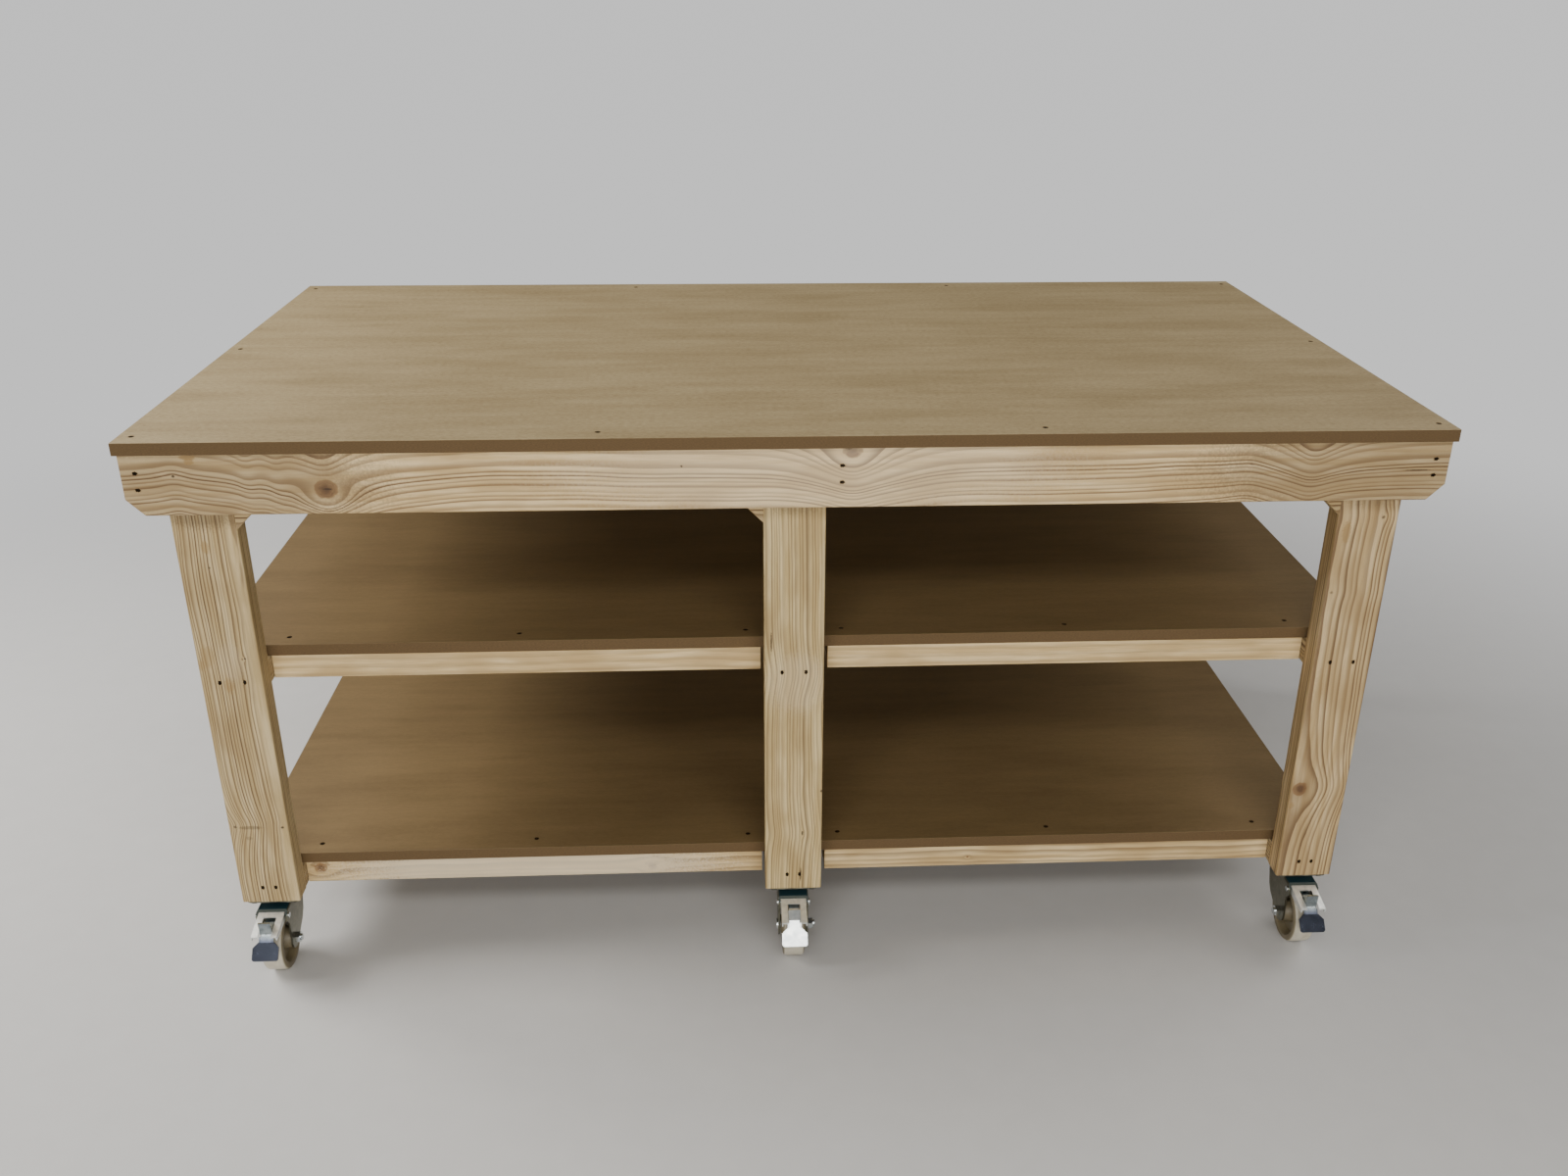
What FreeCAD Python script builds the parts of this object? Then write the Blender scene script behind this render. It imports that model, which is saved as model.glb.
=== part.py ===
import FreeCAD, Part
import Sketcher
import math
import os
import re

from FreeCAD import Placement, Rotation, Vector

# Timber assembly table with an MDF top, two MDF shelves and six braked swivel casters.
# Millimetres. X runs along the table, Y from front to rear, Z up.
# The origin is on the floor below the middle of the worktop.

DRIVING_SIZES = [
    ("worktop_length", 1830.0),
    ("worktop_depth", 1000.0),
    ("overall_height", 900.0),
    ("board_thickness", 18.0),
    ("board_edge_radius", 0.8),
    ("timber_width", 89.0),
    ("timber_thickness", 38.0),
    ("timber_edge_radius", 2.5),
    ("end_overhang", 3.0),
    ("front_overhang", 10.0),
    ("rail_corner_chamfer", 24.0),
    ("middle_leg_offset", -5.0),
    ("middle_shelf_height", 554.0),
    ("shelf_setback", 11.0),
    ("batten_width", 63.0),
    ("batten_setback", 1.0),
    ("batten_outer_gap", 1.0),
    ("left_batten_gap", 4.5),
    ("right_batten_gap", 9.0),
    ("frame_screw_length", 80.0),
    ("frame_screw_shank_radius", 2.5),
    ("frame_screw_head_radius", 4.6),
    ("frame_screw_sink", 1.2),
    ("stitch_screw_length", 70.0),
    ("stitch_screw_shank_radius", 2.5),
    ("stitch_screw_head_radius", 4.6),
    ("stitch_screw_sink", 1.2),
    ("board_screw_length", 38.0),
    ("board_screw_shank_radius", 2.0),
    ("board_screw_head_radius", 4.0),
    ("board_screw_sink", 0.8),
    ("screw_recess_depth", 1.8),
    ("screw_recess_reach", 2.2),
    ("screw_recess_width", 1.0),
    ("worktop_screw_inset", 19.0),
    ("worktop_left_screw", -275.0),
    ("worktop_right_screw", 340.0),
    ("rail_screw_drop", 28.0),
    ("rail_screw_spacing", 24.0),
    ("leg_screw_spacing", 50.0),
    ("leg_screw_drop", 23.0),
    ("leg_screw_step", 44.0),
    ("middle_bearer_screw_spacing", 36.0),
    ("bottom_bearer_screw_spacing", 20.0),
    ("bottom_bearer_screw_rise", 7.0),
    ("gusset_screw_drop", 26.0),
    ("gusset_first_screw", 26.0),
    ("gusset_screw_spacing", 44.0),
    ("batten_screw_inset", 22.0),
    ("batten_screw_from_edge", 25.0),
    ("caster_height", 128.0),
    ("plate_length", 105.0),
    ("plate_width", 80.0),
    ("plate_thickness", 3.0),
    ("plate_corner_radius", 8.0),
    ("plate_inset", 1.0),
    ("plate_hole_spacing_long", 80.0),
    ("plate_hole_spacing_wide", 60.0),
    ("plate_hole_radius", 4.5),
    ("coach_screw_radius", 4.0),
    ("coach_screw_embedment", 33.0),
    ("coach_screw_head_radius", 7.4),
    ("coach_screw_head_height", 5.3),
    ("skirt_radius", 27.0),
    ("skirt_wall", 3.0),
    ("skirt_gap", 0.6),
    ("ball_radius", 3.0),
    ("ball_pitch_radius", 20.0),
    ("ball_count", 12.0),
    ("ball_clearance", 0.3),
    ("kingpin_radius", 6.0),
    ("kingpin_head_radius", 10.0),
    ("kingpin_head_height", 3.6),
    ("kingpin_clearance", 0.4),
    ("wheel_radius", 50.0),
    ("wheel_width", 34.0),
    ("wheel_edge_radius", 5.0),
    ("wheel_rim_thickness", 11.0),
    ("wheel_web_thickness", 11.0),
    ("wheel_hub_radius", 16.0),
    ("wheel_trail", 42.0),
    ("wheel_hub_gap", 1.0),
    ("fork_gap", 42.0),
    ("fork_sheet", 3.0),
    ("crown_top_height", 116.0),
    ("crown_rear_reach", 28.0),
    ("crown_front_reach", 57.5),
    ("crown_side_drop", 6.0),
    ("crown_front_drop", 18.0),
    ("crown_corner_cut", 5.0),
    ("crown_bend_radius", 3.5),
    ("race_radius", 23.0),
    ("fork_boss_radius", 17.0),
    ("fork_brow_reach", 66.0),
    ("fork_brow_drop", 7.0),
    ("fork_throat_reach", 57.0),
    ("fork_throat_height", 87.0),
    ("fork_heel_reach", 19.0),
    ("fork_heel_height", 92.0),
    ("fork_back_reach", 11.0),
    ("fork_back_height", 68.0),
    ("fork_hip_reach", 2.0),
    ("fork_hip_height", 57.0),
    ("axle_radius", 5.0),
    ("axle_clearance", 0.1),
    ("axle_head_radius", 8.5),
    ("axle_head_height", 2.4),
    ("axle_nut_radius", 9.2),
    ("axle_nut_height", 8.0),
    ("axle_end_length", 3.0),
    ("sleeve_wall", 2.5),
    ("brake_pin_reach", 58.0),
    ("brake_pin_height", 105.0),
    ("brake_pin_radius", 2.5),
    ("brake_pin_head_radius", 4.5),
    ("brake_pin_head_height", 2.0),
    ("hood_width", 40.0),
    ("hood_sheet", 2.0),
    ("hood_rear_reach", 50.0),
    ("hood_bend_reach", 60.0),
    ("hood_front_reach", 110.0),
    ("hood_front_drop", 11.0),
    ("hood_rear_side", 13.0),
    ("hood_front_side", 6.4),
    ("hood_slot_reach", 71.0),
    ("hood_slot_width", 20.0),
    ("pedal_barrel_radius", 4.3),
    ("pedal_side_gap", 0.6),
    ("pedal_arm_width", 16.0),
    ("pedal_sheet", 3.0),
    ("pedal_arm_reach", 99.0),
    ("pedal_arm_drop", 7.5),
    ("brake_bar_reach", 74.0),
    ("brake_bar_height", 97.9),
    ("brake_bar_radius", 3.4),
    ("brake_bar_width", 30.0),
    ("pedal_tab_width", 18.5),
    ("pedal_tab_height", 120.5),
    ("pedal_tab_reach", 96.0),
    ("pedal_tab_lean", 2.0),
    ("pedal_cheek_sheet", 2.0),
    ("pedal_cheek_length", 18.0),
    ("pedal_cheek_rise", 6.0),
    ("pedal_neck_width", 22.0),
    ("pedal_neck_drop", 2.5),
    ("pedal_knee_reach", 105.0),
    ("pedal_knee_height", 88.0),
    ("pedal_foot_width", 40.0),
    ("pedal_foot_reach", 123.5),
    ("pedal_foot_height", 66.5),
    ("pedal_foot_corner", 8.0),
    ("pedal_toe_radius", 4.0),
]

# Sizes that follow from the driving ones.
DERIVED_SIZES = [
    ("worktop_underside", "=overall_height - board_thickness"),
    ("frame_end", "=worktop_length / 2 - end_overhang"),
    ("frame_front", "=worktop_depth / 2 - front_overhang"),
    ("leg_front", "=frame_front - timber_thickness"),
    ("leg_back", "=leg_front - timber_thickness"),
    ("leg_outer", "=frame_end - timber_thickness"),
    ("outer_leg_centre", "=leg_outer - timber_width / 2"),
    ("leg_inner", "=leg_outer - timber_width"),
    ("middle_leg_left", "=middle_leg_offset - timber_width / 2"),
    ("middle_leg_right", "=middle_leg_offset + timber_width / 2"),
    ("rail_underside", "=worktop_underside - timber_width"),
    ("middle_bearer_base", "=middle_shelf_height - board_thickness - timber_thickness"),
    ("bottom_shelf_height", "=caster_height + timber_thickness + board_thickness"),
    ("shelf_front", "=leg_back - shelf_setback"),
    ("batten_front", "=shelf_front - batten_setback"),
    ("batten_end", "=leg_inner - batten_outer_gap"),
    ("left_batten_length", "=batten_end + middle_leg_left - left_batten_gap"),
    ("right_batten_length", "=batten_end - middle_leg_right - right_batten_gap"),
    ("gusset_side", "=timber_width * sqrt(2)"),
    ("swivel_depth", "=leg_front - plate_inset - plate_length / 2"),
    ("plate_underside", "=caster_height - plate_thickness"),
    ("fork_half_width", "=fork_gap / 2 + fork_sheet"),
    ("crown_underside", "=crown_top_height - fork_sheet"),
    ("ball_height", "=plate_underside - ball_radius - 0.1"),
    ("race_top", "=ball_height - ball_radius - ball_clearance"),
    ("sleeve_radius", "=axle_radius + sleeve_wall"),
    ("hub_half_width", "=fork_gap / 2 - wheel_hub_gap"),
    ("hood_front_height", "=crown_underside - hood_front_drop"),
    ("pedal_arm_front_height", "=brake_pin_height - pedal_arm_drop"),
]

doc = FreeCAD.newDocument("assembly_table")
sheet = doc.addObject("Spreadsheet::Sheet", "Sheet")
for row, (alias, amount) in enumerate(DRIVING_SIZES + DERIVED_SIZES, start=1):
    sheet.set("A%d" % row, alias.replace("_", " "))
    sheet.set("B%d" % row, str(amount))
    sheet.setAlias("B%d" % row, alias)
doc.recompute()

ALIASES = [alias for alias, amount in DRIVING_SIZES + DERIVED_SIZES]
ALIAS_PATTERN = re.compile(r"\b(" + "|".join(sorted(ALIASES, key=len, reverse=True)) + r")\b")
NODES = {}
WOOD = {}


def size(alias):
    """Number held by a cell."""
    return float(sheet.get(alias))


def formula(text):
    """Expression in which each cell's alias is read from the sheet."""
    return ALIAS_PATTERN.sub(r"Sheet.\1", text)


def bind(item, **properties):
    for name, text in properties.items():
        item.setExpression(name, formula(text))


def place(item, x="0", y="0", z="0"):
    for axis, text in zip("xyz", (x, y, z)):
        item.setExpression("Placement.Base." + axis, formula(text))


def keep(node, item):
    """Register an object as the sub-part of that name."""
    item.Label = node
    NODES[node] = item
    return item


def new_body(name):
    return doc.addObject("PartDesign::Body", name)


def origin_plane(body, role):
    return [plane for plane in body.Origin.OriginFeatures if plane.Role == role][0]


def sketch_on(body, role, name):
    sketch = body.newObject("Sketcher::SketchObject", name)
    sketch.AttachmentSupport = (origin_plane(body, role), "")
    sketch.MapMode = "FlatFace"
    return sketch


def polygon(body, role, name, corners):
    """Closed outline whose corners are held at pairs of formulas."""
    sketch = sketch_on(body, role, name)
    count = len(corners)
    angles = [2 * math.pi * step / count for step in range(count)]
    starts = [Vector(math.cos(angle), math.sin(angle), 0) for angle in angles]
    for step in range(count):
        sketch.addGeometry(Part.LineSegment(starts[step], starts[(step + 1) % count]), False)
    for step in range(count):
        sketch.addConstraint(Sketcher.Constraint("Coincident", step, 2, (step + 1) % count, 1))
    for step, (across, up) in enumerate(corners):
        for kind, text in (("DistanceX", across), ("DistanceY", up)):
            index = sketch.addConstraint(Sketcher.Constraint(kind, -1, 1, step, 1, 1.0))
            sketch.setExpression("Constraints[%d]" % index, formula(text))
    return sketch


def circle(body, role, name, across, up, radius):
    sketch = sketch_on(body, role, name)
    sketch.addGeometry(Part.Circle(Vector(1, 1, 0), Vector(0, 0, 1), 1.0), False)
    for kind, text in (("DistanceX", across), ("DistanceY", up)):
        index = sketch.addConstraint(Sketcher.Constraint(kind, -1, 1, 0, 3, 1.0))
        sketch.setExpression("Constraints[%d]" % index, formula(text))
    index = sketch.addConstraint(Sketcher.Constraint("Radius", 0, 1.0))
    sketch.setExpression("Constraints[%d]" % index, formula(radius))
    return sketch


def symmetric(body, kind, name, sketch, length):
    """Pad or pocket that runs equally to both sides of its sketch."""
    feature = body.newObject("PartDesign::" + kind, name)
    feature.Profile = sketch
    feature.Midplane = True
    bind(feature, Length=length)
    body.Tip = feature
    return feature


def straight(body, kind, name, sketch, length, offset=None, reverse=False):
    """Pad or pocket to one side of its sketch, which may be lifted off its plane."""
    if offset is not None:
        sketch.setExpression("AttachmentOffset.Base.z", formula(offset))
    feature = body.newObject("PartDesign::" + kind, name)
    feature.Profile = sketch
    feature.Reversed = reverse
    bind(feature, Length=length)
    body.Tip = feature
    return feature


def edges_where(shape, test):
    return ["Edge%d" % (step + 1) for step, edge in enumerate(shape.Edges) if test(edge)]


def runs_along(edge, axis):
    if edge.Curve.TypeId != "Part::GeomLine":
        return False
    direction = edge.Curve.Direction
    return abs(abs(getattr(direction, axis)) - 1) < 1e-6


def round_edges(body, name, base, edge_names, radius):
    feature = body.newObject("PartDesign::Fillet", name)
    feature.Base = (base, edge_names)
    bind(feature, Radius=radius)
    body.Tip = feature
    doc.recompute()
    return feature


# ---- boards and timbers -------------------------------------------------------------


def block(node, extents, corner):
    """Body with one box of the three extents, its low corner at the given place."""
    body = new_body(node + "_blank")
    box = body.newObject("PartDesign::AdditiveBox", node + "_box")
    bind(box, Length=extents[0], Width=extents[1], Height=extents[2])
    place(body, *corner)
    body.Tip = box
    doc.recompute()
    return body, box


def board(node, extents, corner):
    """Sheet of MDF with faintly softened edges."""
    body, box = block(node, extents, corner)
    every_edge = edges_where(box.Shape, lambda edge: True)
    round_edges(body, node + "_edges", box, every_edge, "board_edge_radius")
    WOOD[node] = body


def timber(node, long_axis, extents, corner, chamfered_ends=False):
    """Planed softwood with its four long arrises rounded; a rail loses its lower corners."""
    body, tip = block(node, extents, corner)
    if chamfered_ends:
        low_ends = edges_where(
            tip.Shape, lambda edge: runs_along(edge, "y") and edge.CenterOfMass.z < 1)
        cut = body.newObject("PartDesign::Chamfer", node + "_corners")
        cut.Base = (tip, low_ends)
        bind(cut, Size="rail_corner_chamfer")
        body.Tip = cut
        doc.recompute()
        tip = cut
    arrises = edges_where(tip.Shape, lambda edge: runs_along(edge, long_axis))
    round_edges(body, node + "_arrises", tip, arrises, "timber_edge_radius")
    WOOD[node] = body


SECTION = ("timber_thickness", "timber_width")

board("worktop_board",
      ("worktop_length", "worktop_depth", "board_thickness"),
      ("-worktop_length / 2", "-worktop_depth / 2", "worktop_underside"))

for level, base in (("middle", "middle_shelf_height - board_thickness"),
                    ("bottom", "bottom_shelf_height - board_thickness")):
    board(level + "_shelf_board",
          ("leg_outer * 2", "shelf_front * 2", "board_thickness"),
          ("-leg_outer", "-shelf_front", base))

for face, depth in (("front", "-frame_front"), ("rear", "leg_front")):
    timber(face + "_top_rail", "x",
           ("frame_end * 2", SECTION[0], SECTION[1]),
           ("-frame_end", depth, "rail_underside"), chamfered_ends=True)

CROSS_RAILS = (("left", "-frame_end"), ("middle", "middle_leg_right"), ("right", "leg_outer"))
for position, across in CROSS_RAILS:
    timber(position + "_cross_rail", "y",
           (SECTION[0], "leg_front * 2", SECTION[1]),
           (across, "-leg_front", "rail_underside"))

COLUMNS = (("left", "-outer_leg_centre"),
           ("middle", "middle_leg_offset"),
           ("right", "outer_leg_centre"))
for position, centre in COLUMNS:
    for face, depth in (("front", "-leg_front"), ("rear", "leg_back")):
        timber("%s_%s_leg" % (face, position), "z",
               (SECTION[1], SECTION[0], "worktop_underside - caster_height"),
               (centre + " - timber_width / 2", depth, "caster_height"))
    for level, base in (("middle", "middle_bearer_base"), ("bottom", "caster_height")):
        timber("%s_%s_bearer" % (level, position), "y",
               (SECTION[1], "leg_back * 2", SECTION[0]),
               (centre + " - timber_width / 2", "-leg_back", base))

BAYS = (("left", "-batten_end"),
        ("right", "batten_end - right_batten_length"))
LEVELS = (("middle", "middle_bearer_base"), ("bottom", "caster_height"))
for level, base in LEVELS:
    for bay, across in BAYS:
        for face, depth in (("front", "-batten_front"), ("rear", "batten_front - batten_width")):
            timber("%s_%s_%s_batten" % (level, face, bay), "x",
                   (bay + "_batten_length", "batten_width", "timber_thickness"),
                   (across, depth, base))


def gusset(name, side, face, leg_face):
    """Right-angled brace cut from the same timber, in the corner of a leg and the worktop."""
    body = new_body(name)
    reach = "%s * gusset_side" % side
    outline = polygon(body, "XZ_Plane", name + "_outline",
                      [("0", "0"), (reach, "0"), ("0", "-gusset_side")])
    straight(body, "Pad", name + "_pad", outline, "timber_thickness")
    depth = "-leg_back" if face == "front" else "leg_front"
    place(body, leg_face, depth, "worktop_underside")
    return body


GUSSET_SIDES = (("left", "1", "-leg_inner"), ("middle", "-1", "middle_leg_left"),
                ("right", "-1", "leg_inner"))
gussets = [gusset("%s_%s_gusset" % (face, position), side, face, leg_face)
           for position, side, leg_face in GUSSET_SIDES for face in ("front", "rear")]
doc.recompute()

for body in gussets:
    pad = body.Tip
    long_arrises = edges_where(
        pad.Shape,
        lambda edge: not any(runs_along(edge, axis) for axis in "xyz"))
    round_edges(body, body.Name + "_arrises", pad, long_arrises, "timber_edge_radius")

# ---- screws and their bores ---------------------------------------------------------


def lathe(name, corners):
    """Solid turned about the vertical axis through the origin."""
    body = new_body(name)
    outline = polygon(body, "XZ_Plane", name + "_outline", corners)
    turn = body.newObject("PartDesign::Revolution", name + "_turn")
    turn.Profile = outline
    turn.ReferenceAxis = (outline, ["V_Axis"])
    turn.Angle = 360.0
    body.Tip = turn
    doc.recompute()
    return body


def screw(kind):
    """Countersunk screw that points down, its head sunk below the face at height zero."""
    head, shank = kind + "_head_radius", kind + "_shank_radius"
    sink, length = "-%s_sink" % kind, "-%s_length" % kind
    body = lathe(kind, [
        ("0", sink),
        (head, sink),
        (shank, "%s - %s + %s" % (sink, head, shank)),
        (shank, "%s + 2 * %s" % (length, shank)),
        ("0", length),
    ])
    reach, half = "screw_recess_reach", "screw_recess_width / 2"
    cross = polygon(body, "XY_Plane", kind + "_cross", [
        (reach, "-" + half), (reach, half), (half, half), (half, reach),
        ("-" + half, reach), ("-" + half, half), ("-" + reach, half), ("-" + reach, "-" + half),
        ("-" + half, "-" + half), ("-" + half, "-" + reach), (half, "-" + reach),
        (half, "-" + half),
    ])
    depth = "screw_recess_depth + %s_sink" % kind
    straight(body, "Pocket", kind + "_recess", cross, depth)
    doc.recompute()
    return body.Shape


def bore(kind):
    """Hole that the screw leaves: its own form, and the countersink above its head."""
    head, shank = kind + "_head_radius", kind + "_shank_radius"
    sink, length = "-%s_sink" % kind, "-%s_length" % kind
    body = lathe(kind + "_bore", [
        ("0", "0"),
        (head, "0"),
        (head, sink),
        (shank, "%s - %s + %s" % (sink, head, shank)),
        (shank, "%s + 2 * %s" % (length, shank)),
        ("0", length),
    ])
    return body.Shape


def coach_screw():
    """Hexagon-headed screw that points up, its head under the caster's plate."""
    body = lathe("coach_screw", [
        ("0", "0"),
        ("coach_screw_radius", "0"),
        ("coach_screw_radius", "plate_thickness + coach_screw_embedment - coach_screw_radius"),
        ("0", "plate_thickness + coach_screw_embedment"),
    ])
    corner, across = "coach_screw_head_radius", "coach_screw_head_radius * cos(30)"
    hexagon = polygon(body, "XY_Plane", "coach_screw_hexagon", [
        (corner, "0"), (corner + " / 2", across), ("-%s / 2" % corner, across),
        ("-" + corner, "0"), ("-%s / 2" % corner, "-" + across), (corner + " / 2", "-" + across),
    ])
    straight(body, "Pad", "coach_screw_head", hexagon, "coach_screw_head_height", reverse=True)
    doc.recompute()
    return body.Shape


def coach_bore():
    body = lathe("coach_screw_bore", [
        ("0", "0"),
        ("coach_screw_radius", "0"),
        ("coach_screw_radius", "plate_thickness + coach_screw_embedment - coach_screw_radius"),
        ("0", "plate_thickness + coach_screw_embedment"),
    ])
    return body.Shape


UPRIGHT = Rotation()
INTO_FRONT = Rotation(Vector(0, 0, -1), Vector(0, 1, 0))
INTO_REAR = Rotation(Vector(0, 0, -1), Vector(0, -1, 0))
HALF_TURN = Rotation(Vector(0, 0, 1), 180)


def facing_pair(x, depth, z, outwards=False):
    """Place for a screw at the front and for its mirror image at the rear."""
    front, rear = (INTO_REAR, INTO_FRONT) if outwards else (INTO_FRONT, INTO_REAR)
    return [Placement(Vector(x, -depth, z), front), Placement(Vector(x, depth, z), rear)]


LEG_CENTRES = (-size("outer_leg_centre"), size("middle_leg_offset"), size("outer_leg_centre"))


def worktop_screw_places():
    inset = size("worktop_screw_inset")
    end = size("worktop_length") / 2 - inset
    depth = size("frame_front") - inset
    spots = [(x, y)
             for x in (-end, size("worktop_left_screw"), size("worktop_right_screw"), end)
             for y in (-depth, depth)]
    spots += [(-end, 0), (end, 0)]
    return [Placement(Vector(x, y, size("overall_height")), UPRIGHT) for x, y in spots]


def shelf_screw_places():
    """Three screws along each batten, through the shelf that lies on it."""
    depth = size("batten_front") - size("batten_screw_from_edge")
    outer = size("batten_end")
    inset = size("batten_screw_inset")
    rows = []
    for bay, side in (("left", -1), ("right", 1)):
        inner = outer - size(bay + "_batten_length")
        rows += [side * x for x in (inner + inset, (outer + inner) / 2, outer - inset)]
    return [Placement(Vector(x, y, size(level)), UPRIGHT)
            for level in ("middle_shelf_height", "bottom_shelf_height")
            for x in rows for y in (-depth, depth)]


def frame_screw_places():
    """Screws from the table's faces: rails into cross rails, legs into bearers."""
    places = []
    half = size("timber_thickness") / 2
    upper = size("worktop_underside") - size("rail_screw_drop")
    for x in (half - size("frame_end"), size("middle_leg_right") + half, size("frame_end") - half):
        for z in (upper, upper - size("rail_screw_spacing")):
            places += facing_pair(x, size("frame_front"), z)
    middle = size("middle_bearer_base") + half
    bottom = size("caster_height") + half + size("bottom_bearer_screw_rise")
    for centre in LEG_CENTRES:
        for z, spacing in ((middle, size("middle_bearer_screw_spacing")),
                           (bottom, size("bottom_bearer_screw_spacing"))):
            for x in (centre - spacing / 2, centre + spacing / 2):
                places += facing_pair(x, size("leg_front"), z)
    return places


def stitch_screw_places():
    """Screws from behind the legs and the gussets, outwards into the long rails."""
    places = []
    upper = size("worktop_underside") - size("leg_screw_drop")
    half = size("leg_screw_spacing") / 2
    for centre in LEG_CENTRES:
        places += facing_pair(centre - half, size("leg_back"), upper, outwards=True)
        places += facing_pair(centre + half, size("leg_back"),
                              upper - size("leg_screw_step"), outwards=True)
    height = size("worktop_underside") - size("gusset_screw_drop")
    first = size("gusset_first_screw")
    for leg_face, side in ((-size("leg_inner"), 1), (size("middle_leg_left"), -1),
                           (size("leg_inner"), -1)):
        for reach in (first, first + size("gusset_screw_spacing")):
            places += facing_pair(leg_face + side * reach, size("leg_back"), height,
                                  outwards=True)
    return places


CASTER_PLACES = {}
for position, centre in zip(("left", "middle", "right"), LEG_CENTRES):
    CASTER_PLACES["front_" + position] = Placement(
        Vector(centre, -size("swivel_depth"), 0), Rotation())
    CASTER_PLACES["rear_" + position] = Placement(
        Vector(centre, size("swivel_depth"), 0), HALF_TURN)


def coach_screw_places():
    across, depth = size("plate_hole_spacing_wide") / 2, size("plate_hole_spacing_long") / 2
    return [spot.multiply(Placement(Vector(x, y, size("plate_underside")), Rotation()))
            for spot in CASTER_PLACES.values()
            for x in (-across, across) for y in (-depth, depth)]


def copies(shape, places):
    """Copies of one solid, each moved to a place."""
    moved = []
    for spot in places:
        solid = shape.Solids[0].copy()
        solid.Placement = spot.multiply(solid.Placement)
        moved.append(solid)
    return moved


def group(node, solids):
    """Sub-part made of several equal solids."""
    item = doc.addObject("Part::Feature", node)
    item.Shape = Part.makeCompound(solids)
    return keep(node, item)


SCREW_PLACES = {
    "board_screw": worktop_screw_places() + shelf_screw_places(),
    "frame_screw": frame_screw_places(),
    "stitch_screw": stitch_screw_places(),
}
worktop_count = len(worktop_screw_places())
screws = {kind: copies(screw(kind), places) for kind, places in SCREW_PLACES.items()}
bores = []
for kind, places in SCREW_PLACES.items():
    bores += copies(bore(kind), places)
bores += copies(coach_bore(), coach_screw_places())

group("worktop_screws", screws["board_screw"][:worktop_count])
group("shelf_screws", screws["board_screw"][worktop_count:])
group("frame_screws", screws["frame_screw"] + screws["stitch_screw"])
group("caster_plate_screws", copies(coach_screw(), coach_screw_places()))


def bored(name, body):
    """The piece of wood with the bores of all screws that reach it."""
    box = body.Shape.BoundBox
    box.enlarge(-0.5)
    reached = [tool for tool in bores if box.intersect(tool.BoundBox)]
    if not reached:
        return body
    tools = doc.addObject("Part::Feature", name + "_bores")
    tools.Shape = Part.makeCompound(reached)
    cut = doc.addObject("Part::Cut", name + "_bored")
    cut.Base = body
    cut.Tool = tools
    return cut


BATTENS = {level + "_shelf_battens": [name for name in WOOD
                                      if name.startswith(level) and name.endswith("batten")]
           for level in ("middle", "bottom")}
for name, body in WOOD.items():
    if not name.endswith("batten"):
        keep(name, bored(name, body))


def bundle(node, items):
    """Sub-part that gathers loose pieces of one kind."""
    item = doc.addObject("Part::Compound", node)
    item.Links = items
    return keep(node, item)


for node, names in BATTENS.items():
    bundle(node, [bored(name, WOOD[name]) for name in names])
bundle("corner_gussets", [bored(body.Name, body) for body in gussets])
doc.recompute()

# ---- casters: fixed pieces ----------------------------------------------------------
# Each caster is drawn with its swivel axis on the vertical through the origin and the
# floor at height zero. It trails towards -Y, and reach is measured that way.


def reach(text):
    """Sketch coordinate along Y of a point that lies so far ahead of the swivel axis."""
    return "-(%s)" % text


def top_plate():
    """Plate with four bolt holes, the kingpin's hole and the skirt round the ball race."""
    body = new_body("top_plate")
    long_half, wide_half = "plate_length / 2", "plate_width / 2"
    outline = polygon(body, "XY_Plane", "plate_outline", [
        ("-" + wide_half, "-" + long_half), (wide_half, "-" + long_half),
        (wide_half, long_half), ("-" + wide_half, long_half)])
    pad = straight(body, "Pad", "plate_pad", outline, "plate_thickness", "plate_underside")
    doc.recompute()
    corners = edges_where(pad.Shape, lambda edge: runs_along(edge, "z"))
    round_edges(body, "plate_corners", pad, corners, "plate_corner_radius")
    ring = circle(body, "XY_Plane", "skirt_outline", "0", "0", "skirt_radius")
    skirt_base = "crown_top_height + skirt_gap"
    straight(body, "Pad", "skirt_pad", ring, "plate_underside - " + skirt_base, skirt_base)
    hollow = circle(body, "XY_Plane", "skirt_hollow", "0", "0", "skirt_radius - skirt_wall")
    straight(body, "Pocket", "skirt_pocket", hollow, "plate_underside", "plate_underside")
    middle = circle(body, "XY_Plane", "kingpin_hole_outline", "0", "0", "kingpin_radius")
    straight(body, "Pocket", "kingpin_hole", middle, "caster_height", "caster_height")
    for step, (side, end) in enumerate(((-1, -1), (-1, 1), (1, -1), (1, 1))):
        spot = circle(body, "XY_Plane", "bolt_hole_outline_%d" % step,
                      "%d * plate_hole_spacing_wide / 2" % side,
                      "%d * plate_hole_spacing_long / 2" % end, "plate_hole_radius")
        straight(body, "Pocket", "bolt_hole_%d" % step, spot, "caster_height", "caster_height")
    doc.recompute()
    return body.Shape


def kingpin():
    """Rivet on which the fork turns, closed flush on top of the plate."""
    head_top = "race_top - fork_sheet - kingpin_clearance"
    body = lathe("kingpin", [
        ("0", head_top + " - kingpin_head_height"),
        ("kingpin_head_radius - 1", head_top + " - kingpin_head_height"),
        ("kingpin_head_radius", head_top + " - kingpin_head_height + 1"),
        ("kingpin_head_radius", head_top),
        ("kingpin_radius", head_top),
        ("kingpin_radius", "caster_height"),
        ("0", "caster_height"),
    ])
    return body.Shape


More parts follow.
